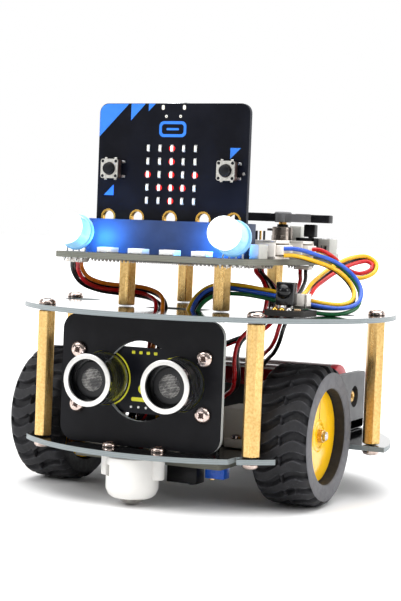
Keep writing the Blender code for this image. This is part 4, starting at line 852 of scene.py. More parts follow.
def make_motor(label, side):
    low, high = span("motor_can_" + label)
    centre = (low + high) / 2
    inner = low.x if side > 0 else high.x
    radius, flat = (high.y - low.y) / 2, (high.z - low.z) / 2
    angle = math.asin(flat / radius)
    outline = [(radius * math.cos(-angle + 2 * angle * i / 16),
                radius * math.sin(-angle + 2 * angle * i / 16)) for i in range(17)]
    outline += [(-x, -z) for x, z in outline]
    motor = Piece("motor_can_" + label + "_shell", ["motor_can_" + label], slot="steel")
    motor.plate(outline, low.x + 0.6, high.x, "motor_can", at(0, centre.y, centre.z) @ SIDEWAYS)
    small = [(x * 0.93, z * 0.93) for x, z in outline]
    ends = sorted((inner, inner + side * 0.8))
    motor.plate(small, ends[0], ends[1], "white", at(0, centre.y, centre.z) @ SIDEWAYS)
    motor.turned([(2.2, 0), (2.2, 1.1), (2.0, 1.3), (0, 1.3)],
                 facing((-side, 0, 0), (inner + side * 0.4, centre.y, centre.z)), "motor_can", 24)
    for reach in (-1, 1):
        motor.block((inner - 0.5, centre.y + reach * 3.9 - 0.25, centre.z - 1.0),
                    (inner + 0.5, centre.y + reach * 3.9 + 0.25, centre.z + 1.0), "gold", 0.08)
    motor.make()
    low, high = span("gearbox_" + label)
    centre = (low + high) / 2
    box = Piece("gearbox_" + label + "_frame", ["gearbox_" + label], slot="brass")
    plates = [(low.x, low.x + 1.0), (high.x - 1.0, high.x), (centre.x - 0.4, centre.x + 0.4)]
    for first, second in plates:
        box.block((first, low.y, low.z), (second, high.y, high.z), "brass_fitting", 0.25)
    for y, z in ((low.y + 1.3, low.z + 1.3), (high.y - 1.3, high.z - 1.3)):
        box.rod((low.x + 0.2, y, z), (high.x - 0.2, y, z), 0.9, "brass_fitting", 16)
    for y, z, gear_radius, x, width in ((-2.2, 0.6, 3.2, -2.6, 1.6), (1.6, -0.8, 2.6, 1.6, 1.8),
                                        (2.4, 1.4, 2.4, -2.2, 1.2), (-1.6, -1.6, 2.2, 2.4, 1.6)):
        teeth = [((gear_radius - 0.25 * (i % 2)) * math.cos(math.tau * i / 48),
                  (gear_radius - 0.25 * (i % 2)) * math.sin(math.tau * i / 48)) for i in range(48)]
        box.plate(teeth, 0, width, "brass_fitting", facing((1, 0, 0),
                                                           (centre.x + x, centre.y + y, centre.z + z)))
    box.make()
    low, high = span("motor_bracket_" + label)
    can_top = span("motor_can_" + label)[1].z
    centre_y = (low.y + high.y) / 2
    arch_low, arch_high = sorted(side * x for x in BRACKET_ENDS)
    arch = rounded((-7.8, low.z), (7.8, high.z), 1.6, 6)
    arch = [(y, max(z, low.z)) for y, z in arch]
    arch = [point for point in arch if point[1] > low.z + 1.7]
    arch = [(7.8, low.z), *arch, (-7.8, low.z), (-6.3, low.z), (-6.3, can_top + 0.3), (6.3, can_top + 0.3),
            (6.3, low.z)]
    bracket = Piece("motor_bracket_" + label + "_saddle", ["motor_bracket_" + label], slot="white")
    bracket.plate(arch, arch_low, arch_high, "bracket_white", at(0, centre_y, 0) @ SIDEWAYS)
    for reach in (-1, 1):
        ear = sorted((centre_y + reach * 7.7, centre_y + reach * 11.2))
        bracket.block((arch_low + 2.6, ear[0], low.z), (arch_high - 2.4, ear[1], LOWER_HIGH + 3.0),
                      "bracket_white", 0.4)
        bracket.screw(at((arch_low + arch_high) / 2, centre_y + reach * BRACKET_SCREWS, LOWER_HIGH + 3.02),
                      1.7, 1.2, turn=reach)
        bracket.screw(facing((0, 0, -1), (side * BRACKET_X, centre_y + reach * BRACKET_SCREWS,
                                          LOWER_LOW - SHEET_GAP)), 1.9, 1.2, turn=reach + 0.4)
    bracket.make()


def carve(obj, cutters):
    """Cut closed pieces out of a made piece, then forget the cutters."""
    for cutter in cutters:
        modifier = obj.modifiers.new("cut", "BOOLEAN")
        modifier.object = cutter
    bpy.context.view_layer.update()
    mesh = bpy.data.meshes.new_from_object(obj.evaluated_get(bpy.context.evaluated_depsgraph_get()))
    obj.modifiers.clear()
    obj.data = mesh
    for cutter in cutters:
        bpy.data.objects.remove(cutter, do_unlink=True)
    mesh.shade_smooth()
    mesh.set_sharp_from_angle(angle=math.radians(35))


def make_caster(end):
    node = end + "_caster_housing"
    ball = CASTERS[end]
    top = span(node)[1].z
    place = at(0, ball.y, 0)
    cavity = CASTER_CAVITY
    bottom = span(node)[0].z
    start = math.asin((bottom - ball.z) / cavity)
    arc = [start + (math.pi / 2 - start) * i / 14 for i in range(15)]
    profile = [(0, top), (7.7, top), (8.0, top - 0.3), (8.0, 5.4), (7.9, 4.9), (7.2, 3.4),
               (6.3, bottom + 0.15), (6.0, bottom)]
    profile += [(cavity * math.cos(a), ball.z + cavity * math.sin(a))
                for a in arc[:-1]] + [(0, ball.z + cavity)]
    housing = Piece(end + "_caster_body", [node], slot="white")
    housing.turned(profile, place, "white", 72)
    body = housing.make()
    cutters = []
    for angle in (45, 135):
        cutter = Piece(f"{end}_caster_cutter_{angle}")
        cutter.block((-12, -1.6, CASTER_SLOT[0]), (12, 1.6, CASTER_SLOT[1]), "white", 0.3, 2, place
                     @ Matrix.Rotation(math.radians(angle), 4, "Z"))
        cutters.append(cutter.make())
    carve(body, cutters)
    trims = Piece(end + "_caster_ears", slot="white")
    for side in (-1, 1):
        trims.turned([(1.2, top - 6.4), (2.1, top - 6.4), (2.3, top - 6.2), (2.3, top - 0.2), (2.1, top),
                      (1.2, top), (1.2, top - 6.4)],
                     at(side * CASTER_SCREW_X, ball.y, 0), "white", 32)
    trims.make()
    screws = Piece(end + "_caster_screws", slot="steel")
    for side in (-1, 1):
        screws.screw(at(side * CASTER_SCREW_X, ball.y, LOWER_HIGH + SHEET_GAP), 2.3, 1.5, turn=side + ball.y)
    screws.make()
    rolling = Piece(end + "_caster_steel_ball", [end + "_caster_ball"], end + "_ball", "steel")
    sphere = [(BALL_RADIUS * math.sin(math.pi * i / 24) if 0 < i < 24 else 0.0,
               -BALL_RADIUS * math.cos(math.pi * i / 24)) for i in range(25)]
    rolling.turned(sphere, at(*ball), "steel", 48)
    rolling.make()


# ------------------------------------------------------------------ battery and line sensor
def make_battery():
    low, high = span("battery_holder")
    cells = {name: (span(name), middle(name)) for name in ("cell_front", "cell_rear")}
    holder = Piece("battery_tray", ["battery_holder"], slot="black")
    holder.block((low.x, low.y, low.z), (high.x, high.y, low.z + 3.3), "holder", 0.3)
    for y in ((low.y, low.y + 1.0), (high.y - 1.0, high.y)):
        holder.block((low.x + 0.4, y[0], low.z + 0.4), (high.x - 0.4, y[1], low.z + 15.5), "holder", 0.25)
    wall = rounded((low.y, low.z), (high.y, high.z), 1.4, 8)
    holes = [ring(3.7, 40, (centre.y, centre.z - 1.5)) for _, centre in cells.values()]
    for side in (-1, 1):
        ends = sorted((side * high.x, side * (high.x - 2.2)))
        holder.plate(wall, ends[0], ends[1], "holder", SIDEWAYS, holes)
        for _, centre in cells.values():
            face = facing((side, 0, 0), (side * (high.x - 1.9), centre.y, centre.z - 1.5))
            holder.turned([(3.7, 0.0), (3.7, 0.1), (2.6, 0.1), (2.6, 0.0)], face, "gloss_black", 40)
            holder.turned([(0.7, 0.15), (1.0, 0.9), (1.7, 1.2), (2.1, 0.9), (2.6, 0.1), (0.7, 0.05)], face,
                          "brass_fitting", 32)
            coil = [(1.0 * side * (high.x - 2.4 - 0.16 * i / 3), centre.y
                     + (3.2 - 0.024 * i) * math.cos(0.5 * i),
                     centre.z + (3.2 - 0.024 * i) * math.sin(0.5 * i)) for i in range(36)]
            holder.tube(coil, 0.25, "silver", 8)
    holder.make()
    for name, (ends, centre) in cells.items():
        radius = (ends[1].z - ends[0].z) / 2
        start, stop = ends[0].x, ends[1].x
        length = stop - start
        cell = Piece(name + "_wrapped", [name], slot="cell")
        place = facing((1, 0, 0), (start, centre.y, centre.z))
        cell.turned([(0, 0), (3.0, 0), (3.1, 0.4), (radius - 0.9, 0.4), (radius - 0.3, 0.7), (radius, 1.3),
                     (radius, 3.0)],
                    place, "cell_end", 64)
        cell.turned([(radius, 3.0), (radius, length - 3.0)], place, "cell", 64)
        cell.turned([(radius, length - 3.0), (radius, length - 1.3), (radius - 0.3, length - 0.7),
                     (radius - 0.9, length - 0.4),
                     (3.1, length - 0.4), (3.0, length), (0, length)], place, "cell_end", 64)
        band = 0.32
        for angle in (math.radians(118), math.radians(-150)):
            y = centre.y + (radius + 0.01) * math.cos(angle)
            z = centre.z + (radius + 0.01) * math.sin(angle)
            cell.block((start + 6, y - band, z - band), (stop - 6, y + band, z + band), "white_line",
                       0.12, 1)
        cell.make()


def make_line_sensor():
    low, high = span("line_sensor_board")
    board = Piece("line_sensor_circuit", ["line_sensor_board"], slot="board")
    board.plate(rounded((low.x, low.y), (high.x, high.y), 1.0), 11.7, 13.3, "carrier",
                holes=[ring(1.2, 16, (side * 22.5, -40.0)) for side in (-1, 1)])
    for side in (-1, 1):
        x = side * 11.2
        board.block((x - 5.1, -41.2, 6.2), (x + 5.1, -35.4, 11.7), "black", 0.35)
        board.turned([(1.4, 0.0), (1.5, 0.3), (1.2, 0.5), (0, 0.55)],
                     facing((0, 0, -1), (x - 2.4, -38.3, 6.25)), "led_clear", 24)
        board.turned([(1.4, 0.0), (1.5, 0.3), (1.2, 0.5), (0, 0.55)],
                     facing((0, 0, -1), (x + 2.4, -38.3, 6.25)), "gloss_black", 24)
        board.rod((side * 22.5, -33.5, 13.3), (side * 22.5, -33.5, 14.9), 2.4, "white", 24)
    board.block((17.2, -37.4, 7.9), (23.6, -33.0, 11.6), "trimmer_blue", 0.3)
    board.rod((18.8, -35.2, 8.1), (18.8, -35.2, 7.3), 1.1, "brass_fitting", 20)
    board.block((18.0, -35.35, 7.2), (19.6, -35.05, 7.5), "chip", 0.03, 1)
    for x, y, kind in ((-20, -33, "tan"), (-17, -33.5, "chip"), (-3, -38, "tan"), (0, -38, "chip"),
                       (3, -38, "led_clear"), (7, -33, "tan")):
        board.block((x - 0.9, y - 0.55, 11.1), (x + 0.9, y + 0.55, 11.68), kind, 0.1, 1)
    board.make()


# ------------------------------------------------------------------ infrared receiver
def make_ir():
    low, high = span("ir_board")
    board = Piece("ir_circuit", ["ir_board"], slot="board")
    board.plate(rounded((low.x, low.y), (high.x, high.y), 1.2), low.z, high.z, "small_board",
                holes=[ring(1.0, 16, (45.0, -27.8))])
    for i, x in enumerate((37.6, 39.8, 42.0)):
        board.turned([(0.95, 0), (0.9, 0.35), (0.55, 0.75), (0, 0.9)], at(x, -36.3, high.z), "gold" if i < 2
                     else "solder", 16)
    for x, y, kind in ((44.6, -35.8, "tan"), (44.6, -33.6, "chip"), (36.0, -33.6, "led_clear")):
        board.block((x - 0.9, y - 0.55, high.z), (x + 0.9, y + 0.55, high.z + 0.55), kind, 0.1, 1)
    for left, right, rear, top in ((37.8, 45.0, -25.6, 61.9), (37.8, 38.5, -25.6, 65.4),
                                   (44.3, 45.0, -25.6, 65.4), (37.8, 45.0, -29.4, 65.4)):
        board.block((left, -30.1, 61.0), (right, rear, top), "socket_white", 0.2)
    board.make()
    low, high = span("ir_receiver")
    body = Piece("ir_receiver_eye", ["ir_receiver"], slot="black")
    body.block((37.1, -35.2, low.z + 1.0), (42.6, -31.2, high.z), "gloss_black", 0.45, 3)
    body.turned([(2.3, 0.0), (2.25, 0.6)] + [(2.2 * math.cos(math.radians(a)), 0.6
                                              + 2.0 * math.sin(math.radians(a))) for a in range(0, 90, 15)]
                                              + [(0, 2.6)],
                facing((0, -1, 0), (39.85, -35.1, low.z + 5.2)), "gloss_black", 40)
    for i in range(3):
        x = 37.6 + 2.1 * i
        body.block((x - 0.3, -33.5, low.z), (x + 0.3, -32.9, low.z + 1.6), "silver", 0.08, 1)
    body.make()


# ------------------------------------------------------------------ carrier board and its parts
LAMP_TILT = math.radians(12.0)
LAMP_BASE = (26.6, -43.2, 81.1)
LAMP_RADIUS = 5.0
LAMP_BARREL = 8.3
CONNECTOR_FLOOR = 79.6
SQUARE_LAMPS = {"x": (-16.1, -5.4, 5.3, 16.0), "y": -43.0}
CARRIER_SOCKETS = ("socket_front", "socket_rear")
KNOB = middle("turn_knob")


def make_carrier():
    low, high = span("carrier_board")
    board = Piece("carrier_circuit", ["carrier_board"], slot="board")
    board.block((20.8, 15.0, CARRIER_HIGH - 0.2), (25.0, 19.2, high.z), "inductor", 0.35)
    board.block((21.4, 14.8, CARRIER_HIGH + 1.0), (24.4, 15.05, CARRIER_HIGH + 2.2), "chip", 0.1, 1)
    for y in (15.0, 19.2):
        board.block((20.9, y - 0.15, high.z - 6.8), (24.9, y + 0.15, high.z - 6.5), "chip", 0.1, 1)
    high = high.copy()
    high.z = CARRIER_HIGH
    board.plate(rounded((low.x, low.y), (high.x, high.y), 1.5), low.z, high.z, "carrier",
                holes=[ring(SCREW_HOLE, 20, middle(post).xy) for post in SHORT_POSTS])
    board.make(30)
    leds = Piece("carrier_square_lamps", slot="white")
    y = SQUARE_LAMPS["y"]
    for x in SQUARE_LAMPS["x"]:
        leds.block((x - 2.5, y - 2.5, high.z + 0.05), (x + 2.5, y + 2.5, high.z + 1.65), "led_clear", 0.15)
        leds.turned([(2.0, 0.0), (1.9, 0.04), (0, 0.05)], at(x, y, high.z + 1.66), "led_white", 32)
        for reach in (-1, 1):
            for across in (-1.6, 1.6):
                foot_x, foot_y = x + across, y + reach * 2.55
                leds.block((foot_x - 0.5, foot_y - 0.35, high.z + 0.02),
                           (foot_x + 0.5, foot_y + 0.35, high.z + 0.4), "solder", 0.08, 1)
    leds.make()
    tails = Piece("carrier_solder_tails", slot="steel")
    rows = [(-27.5 + 1.35 * i, -30.5) for i in range(42)] + [(-27.5 + 1.35 * i, -34.6) for i in range(42)]
    rows += [(28.2, y) for y in (-24.5, -22.0, -19.4, -17.0, -2.5, 0.0, 2.5, 16.5, 19.0)]
    rows += [(side * LAMP_BASE[0] + 2.1 * (i - 1.5), -45.9) for side in (-1, 1) for i in range(4)]
    for x, y in rows:
        tails.turned([(0.62, 0), (0.5, 0.4), (0.24, 0.8), (0.2, 1.2), (0, 1.25)],
                     facing((0, 0, -1), (x, y, low.z)), "solder", 8)
    tails.make()
    random.seed(7)
    small = Piece("carrier_small_parts", slot="black")
    kinds = ("tan", "chip", "chip", "tan", "led_clear")
    for column in range(7):
        for line in range(7):
            x = -25 + column * 6.2 + random.uniform(-0.8, 0.8)
            y = -22 + line * 6.4 + random.uniform(-0.8, 0.8)
            if math.dist((x, y), (-16.5, 14.3)) < 5 or math.dist((x, y),
                                                                 (16.5, 14.3)) < 5 or (x > 12 and y > -4):
                continue
            kind = random.choice(kinds)
            width, deep = random.choice(((1.8, 1.1), (1.1, 1.8), (2.6, 1.5)))
            small.block((x - width / 2, y - deep / 2, high.z), (x + width / 2, y + deep / 2, high.z + 0.6),
                        kind, 0.1, 1)
            for end in (-1, 1):
                small.block((x + end * width / 2 - 0.25, y - deep / 2, high.z),
                            (x + end * width / 2 + 0.25, y + deep / 2, high.z + 0.55), "solder", 0.06, 1)
    for x, y, width, deep, tall in ((-8, 2, 9.0, 9.0, 1.4), (-20, -8, 5.0, 6.2, 1.5),
                                    (2, 20, 4.4, 6.0, 1.5)):
        small.block((x - width / 2, y - deep / 2, high.z + 0.1),
                    (x + width / 2, y + deep / 2, high.z + 0.1 + tall), "chip", 0.12, 1)
        pins = int(deep / PIN_PITCH) - 1
        for i in range(pins):
            for side in (-1, 1):
                pin_y = y - (pins - 1) / 2 * PIN_PITCH + PIN_PITCH * i
                small.block((x + side * (width / 2 + 0.5) - 0.5, pin_y - 0.2, high.z),
                            (x + side * (width / 2 + 0.5) + 0.5, pin_y + 0.2, high.z + 0.35), "silver",
                            0.06, 1)
    small.block((-14, 24, high.z), (4, 29.5, high.z + 1.2), "chip", 0.1, 1)
    for i in range(7):
        small.rod((-12.6 + 2 * PIN_PITCH * i, 26.7, high.z + 0.5),
                  (-12.6 + 2 * PIN_PITCH * i, 26.7, high.z + 8.5), 0.32, "gold", 8)
        small.block((-13.8 + 2 * PIN_PITCH * i, 25.5, high.z + 0.9),
                    (-11.4 + 2 * PIN_PITCH * i, 27.9, high.z + 3.4), "black", 0.2, 1)
    small.block((29.2, -38.0, high.z), (32.4, -31.0, high.z + 4.4), "grey", 0.25)
    for i in range(4):
        small.block((22.4 + PIN_PITCH * i, -20.6, high.z + 5.0), (23.0 + PIN_PITCH * i, -20.0, high.z + 8.6),
                    ("gold", "chip")[i % 2], 0.08, 1)
    small.block((21.6, -21.4, high.z), (27.4, -19.2, high.z + 5.4), "chip", 0.15, 1)
    small.make()
    connector = Piece("edge_connector_housing", ["edge_connector"], slot="black")
    low, high = span("edge_connector")
    board_low, board_high = span("controller_board")
    outline = rounded((low.x, low.y), (high.x, high.y), 0.5, 4)
    inner = rounded((board_low.x - 0.4, board_low.y - 0.35), (board_high.x + 0.4, board_high.y + 0.35),
                    0.3, 3)
    connector.plate(outline, low.z, CONNECTOR_FLOOR, "connector")
    connector.plate(outline, CONNECTOR_FLOOR, high.z, "connector", holes=[inner])
    for i in range(40):
        x = -24.77 + PIN_PITCH * i
        for side, y in ((-1, board_low.y - 0.33), (1, board_high.y + 0.33)):
            connector.block((x - 0.3, y - 0.12, 80.2), (x + 0.3, y + 0.12, high.z - 0.5), "gold", 0.05, 1)
    for i in range(3):
        connector.block((-27.2 + 26.6 * i, low.y - 0.25, low.z),
                        (-26.0 + 26.6 * i, low.y + 0.1, low.z + 1.2), "connector", 0.1, 1)
    connector.make()


def make_lamp(label, side):
    node = "lamp_" + label
    base = Vector((side * LAMP_BASE[0], LAMP_BASE[1], LAMP_BASE[2]))
    direction = (0.0, -math.cos(LAMP_TILT), math.sin(LAMP_TILT))
    place = facing(direction, base)
    lamp = Piece(node + "_glass", [node], slot="lamp")
    barrel = LAMP_BARREL
    dome = [(LAMP_RADIUS * math.cos(math.radians(a)), barrel + 4.6 * math.sin(math.radians(a)))
            for a in range(0, 90, 6)]
    lamp.turned([(0, 0), (5.4, 0), (5.6, 0.2), (5.6, 1.0), (5.4, 1.2), (5.02, 1.3)], place, "lamp_flange",
                64)
    lamp.turned([(5.02, 1.3), (LAMP_RADIUS, 1.6), (LAMP_RADIUS, barrel - 1.6)], place, "lamp_barrel", 64)
    lamp.turned([(LAMP_RADIUS, barrel - 1.6)] + dome + [(0, barrel + 4.6)], place, "lamp", 64)
    foot = CARRIER_HIGH + 0.05
    for i in range(4):
        x = base.x + (i - 1.5) * 2.1
        lamp.tube([(x, base.y + 0.1, base.z - 0.2), (x, base.y - 0.5, base.z - 0.9),
                   (x, base.y - 0.95, base.z - 2.4), (x, base.y - 0.95, foot)], 0.27, "silver", 8)
    lamp.make()


def make_side_parts():
    for name in CARRIER_SOCKETS:
        low, high = span(name)
        socket = Piece(name + "_shell", [name], slot="white")
        socket.block((low.x, low.y, low.z), (high.x, high.y, low.z + 0.9), "socket_white", 0.15)
        socket.block((low.x, low.y, high.z - 0.9), (high.x, high.y, high.z), "socket_white", 0.15)
        socket.block((low.x, low.y, low.z + 0.5), (low.x + 3.0, high.y, high.z - 0.5), "socket_white", 0.15)
        for y in ((low.y, low.y + 0.9), (high.y - 0.9, high.y)):
            socket.block((low.x + 2.5, y[0], low.z), (high.x, y[1], high.z), "socket_white", 0.15)
        pins = int((high.y - low.y - 2) / 2.5)
        for i in range(pins):
            y = (low.y + high.y) / 2 + (i - (pins - 1) / 2) * 2.5
            socket.block((low.x + 2.8, y - 0.3, low.z + 2.6), (low.x + 3.5, y + 0.3, low.z + 3.2), "gold",
                         0.08, 1)
            socket.tube([(low.x - 0.2, y, low.z + 2.9), (low.x - 1.2, y, low.z + 2.7),
                         (low.x - 1.6, y, low.z + 1.6), (low.x - 1.6, y, low.z - 0.3)], 0.28, "gold", 8)
        socket.make()
    low, high = span("terminal_block")
    terminal = Piece("terminal_housing", ["terminal_block"], slot="grey")
    face_x = 35.7
    terminal.block((low.x, low.y, low.z), (face_x, high.y, high.z), "grey", 0.3)
    terminal.block((33.0, low.y + 0.4, low.z), (high.x, high.y - 0.4, low.z + 2.0), "grey", 0.25)
    for x in (31.3, 34.2):
        terminal.block((x - 0.75, low.y - 0.06, low.z + 2.3), (x + 0.75, low.y + 0.1, low.z + 4.9), "grey",
                       0.08, 1)
        terminal.block((x - 0.52, low.y - 0.10, low.z + 2.6), (x + 0.52, low.y + 0.1, low.z + 4.6), "chip",
                       0.3, 2)
        terminal.turned([(1.15, 0.0), (1.1, 0.15), (0, 0.12)], at(x, (low.y + high.y) / 2, high.z), "silver",
                        20)
        terminal.block((x - 1.0, (low.y + high.y) / 2 - 0.15, high.z + 0.1),
                       (x + 1.0, (low.y + high.y) / 2 + 0.15, high.z + 0.17), "chip", 0.02, 1)
    middle_x = (low.x + face_x) / 2
    terminal.block((middle_x - 0.18, low.y - 0.03, low.z + 1.6), (middle_x + 0.18, low.y + 0.2, low.z + 4.6),
                   "chip", 0.05, 1)
    terminal.make()
    low, high = span("power_switch_body")
    top = high.z
    switch = Piece("power_switch_housing", ["power_switch_body"], slot="black")
    switch.block((low.x, low.y, low.z), (high.x, high.y, low.z + 4.0), "black", 0.2)
    for ends in ((low.x, 27.2), (31.4, high.x)):
        switch.block((ends[0], low.y, low.z + 3.8), (ends[1], high.y, top), "black", 0.12, 1)
    for ends in ((low.y, 9.1), (12.2, high.y)):
        switch.block((low.x, ends[0], low.z + 3.8), (high.x, ends[1], top), "black", 0.12, 1)
    for x in (low.x + 0.9, high.x - 0.9):
        switch.block((x - 0.3, low.y - 0.06, low.z + 0.6), (x + 0.3, low.y + 0.05, low.z + 1.8), "silver",
                     0.05, 1)
    switch.make()
    low, high = span("power_switch_lever")
    lever = Piece("power_switch_thumb", ["power_switch_lever"], "power_lever", "black")
    lever.block((29.7, 9.6, low.z), (31.0, 11.7, top + 0.6), "black", 0.15)
    lever.block((low.x, low.y, top + 0.3), high, "black", 0.25, 3)
    for i in range(4):
        x = low.x + 0.5 + 0.85 * i
        lever.block((x, low.y + 0.2, high.z - 0.2), (x + 0.35, high.y - 0.2, high.z + 0.08), "black",
                    0.08, 1)
    lever.make()
    low, high = span("knob_base")
    x, y = KNOB.x, KNOB.y
    can = Piece("knob_can", ["knob_base"], slot="steel")
    can.turned([(0, low.z), (3.5, low.z), (3.5, low.z + 0.8), (3.42, low.z + 1.0), (3.42, low.z + 9.8),
                (3.3, low.z + 10.1), (3.0, low.z + 10.2),
                (1.9, low.z + 10.2)], at(x, y, 0), "dull_steel", 48)
    can.turned([(1.9, low.z + 10.2), (1.85, low.z + 11.0), (1.3, low.z + 11.1)], at(x, y, 0), "gloss_black",
               32)
    can.turned([(1.3, low.z + 11.1), (1.3, high.z), (0, high.z)], at(x, y, 0), "brass_fitting", 32)
    can.block((x - 5.0, y - 1.2, low.z + 8.8), (x - 3.2, y + 1.2, low.z + 9.6), "dull_steel", 0.15)
    for turn in range(8):
        can.block((3.36, -0.5, low.z + 2.0), (3.5, 0.5, low.z + 7.4), "dull_steel", 0.05, 1, at(x, y, 0)
                  @ Matrix.Rotation(math.tau * (turn + 0.5) / 8, 4, "Z"))
    can.make()
    low, high = span("turn_knob")
    knob = Piece("turn_knob_arms", ["turn_knob"], "knob", "black")
    # The hub takes the lit grey copy of the black plastic: painted light.
    knob.turned([(1.7, low.z), (2.6, low.z), (2.85, low.z + 0.2), (2.9, low.z + 0.5), (2.9, high.z - 0.5),
                 (2.6, high.z - 0.12), (1.6, high.z), (0, high.z)],
                at(x, y, 0), "knob_lit", 48)
    knob.turned([(1.7, low.z), (1.7, low.z + 1.6), (0, low.z + 1.6)], at(x, y, 0), "chip", 32)
    reach, tip, root = (high.x - low.x) / 2, 1.6, 2.4
    arm_low = low.z + 0.2
    # The left arm keeps the black plastic; the right arm takes the lit grey copy, painted light.
    for side, kind, end in ((-1, "knob_dark", reach), (1, "knob_lit", 10.6)):
        width = root + (tip - root) * (end - 2.0) / (reach - 2.0)
        outline = [(side * end, -width + 0.2), (side * (end - 0.2), -width), (side * 2.0, -root),
                   (side * 2.0, root), (side * (end - 0.2), width), (side * end, width - 0.2)]
        knob.plate(outline, arm_low, arm_low + 2.6, kind, at(x, y, 0))
    knob.block((x + 10.5, y - 2.0, arm_low - 0.02), (x + reach, y + 2.0, arm_low + 2.55), "knob_dark",
               0.3, 3)
    for ends in ((4.5, 9.6), (-14.5, -4.5)):
        knob.block((x + ends[0], y - 0.5, arm_low + 2.5), (x + ends[1], y + 0.5, arm_low + 2.72),
                   "gloss_black", 0.1, 1)
    knob.make()


# ------------------------------------------------------------------ controller board
EDGE_HOLES = (-21.59, -11.43, 0.0, 11.43, 21.59)
MATRIX_PITCH = 4.06
MATRIX_MIDDLE = 100.05
LIT = {(0, 2), (1, 2), (2, 0), (2, 2), (2, 4), (3, 1), (3, 2), (3, 3), (4, 2)}


def make_controller():
    low, high = span("controller_board")
    front, back = low.y, high.y
    corner = 3.0
    outline = [(low.x, low.z), (high.x, low.z)]
    for centre_x, start in ((high.x - corner, 0), (low.x + corner, 90)):
        angles = [math.radians(start + 7.5 * i) for i in range(13)]
        outline += [(centre_x + corner * math.cos(a), high.z - corner + corner * math.sin(a))
                    for a in angles]
    hole_z = low.z + 6.4
    board = Piece("controller_circuit", ["controller_board"], slot="board")
    board.plate(outline, 0, back - front, "circuit", upright(back),
                [ring(2.0, 40, (x, hole_z)) for x in EDGE_HOLES])
    board.make(30)
    gold = Piece("controller_gold_pads", slot="brass")
    for x in EDGE_HOLES:
        for low_y, high_y in ((front - 0.06, front - 0.01), (back + 0.01, back + 0.06)):
            gold.plate(ring(2.55, 48, (x, hole_z)), -high_y, -low_y, "gold", UPRIGHT,
                       [ring(2.0, 48, (x, hole_z))])
        gold.turned([(2.0, 0.02), (1.93, 0.02), (1.93, back - front - 0.02), (2.0, back - front - 0.02)],
                    facing((0, 1, 0), (x, front, hole_z)), "gold", 40)
    for i in range(36):
        x = -22.2 + PIN_PITCH * i
        gold.block((x - 0.4, front - 0.05, low.z + 0.3), (x + 0.4, front - 0.005, hole_z - 2.2), "gold", 0.0)
        gold.block((x - 0.4, back + 0.005, low.z + 0.3), (x + 0.4, back + 0.05, hole_z - 2.2), "gold", 0.0)
    gold.make(30)
    lamps = Piece("controller_lamp_matrix", slot="white")
    for row in range(5):
        for column in range(5):
            x, z = (column - 2) * MATRIX_PITCH, MATRIX_MIDDLE - (row - 2) * MATRIX_PITCH
            kind = "led_red" if (row, column) in LIT else "led_white"
            lamps.block((x - 0.42, front - 0.62, z - 0.85), (x + 0.42, front, z + 0.85), kind, 0.18)
            if kind == "led_red":
                # A painted pool of red light: the lit lamp's glow on the board around it.
                lamps.plate(ring(1.0, 28, (x, z)), 0.02, 0.06, "led_halo", upright(front))
            for end in (-1, 1):
                lamps.block((x - 0.5, front - 0.3, z + end * 0.85 - 0.28),
                            (x + 0.5, front, z + end * 0.85 + 0.28), "silver", 0.08, 1)
    lamps.make()
    prints = Piece("controller_printing", slot="board")
    flat = (0.015, 0.05)

    def mark(points, material, holes=()):
        prints.plate(points, *flat, material, upright(front), holes)

    left, top = low.x, high.z
    mark([(left + 0.1, top - 10.4), (left + 0.1, top - 2.6), (left + 0.9, top - 0.9),
          (left + 2.6, top - 0.1), (-15.5, top - 0.1)], "blue_print")
    mark([(-14.7, top - 5.3), (-9.7, top - 0.1), (-14.7, top - 0.1)], "blue_print")
    mark([(-8.6, top - 2.4), (-6.2, top - 0.1), (-8.6, top - 0.1)], "blue_print")
    mark([(-23.4, 93.3), (-20.0, 93.3), (-20.0, 96.7)], "blue_print")
    mark([(19.7, 105.2), (23.2, 108.6), (19.7, 108.6)], "blue_print")
    mark(rounded((-4.7, 111.7), (4.6, 116.6), 1.6, 8), "blue_print",
         [rounded((-3.8, 112.6), (3.7, 115.7), 0.9, 8)])
    mark(rounded((-2.2, 113.8), (2.1, 114.5), 0.3, 4), "blue_print")
    for x in (-3.6, 3.7):
        mark(rounded((x - 0.5, 120.1), (x + 0.5, 121.6), 0.45, 6), "led_white")
    for x in (-2.4, 2.5):
        mark(ring(0.45, 20, (x, 118.1)), "led_white", [ring(0.2, 12, (x, 118.1))])
    mark(ring(0.5, 16, (24.4, 100.8)), "silver")
    prints.make(30)
    for label in ("a", "b"):
        make_button(label)
    make_controller_back(back, high.z)


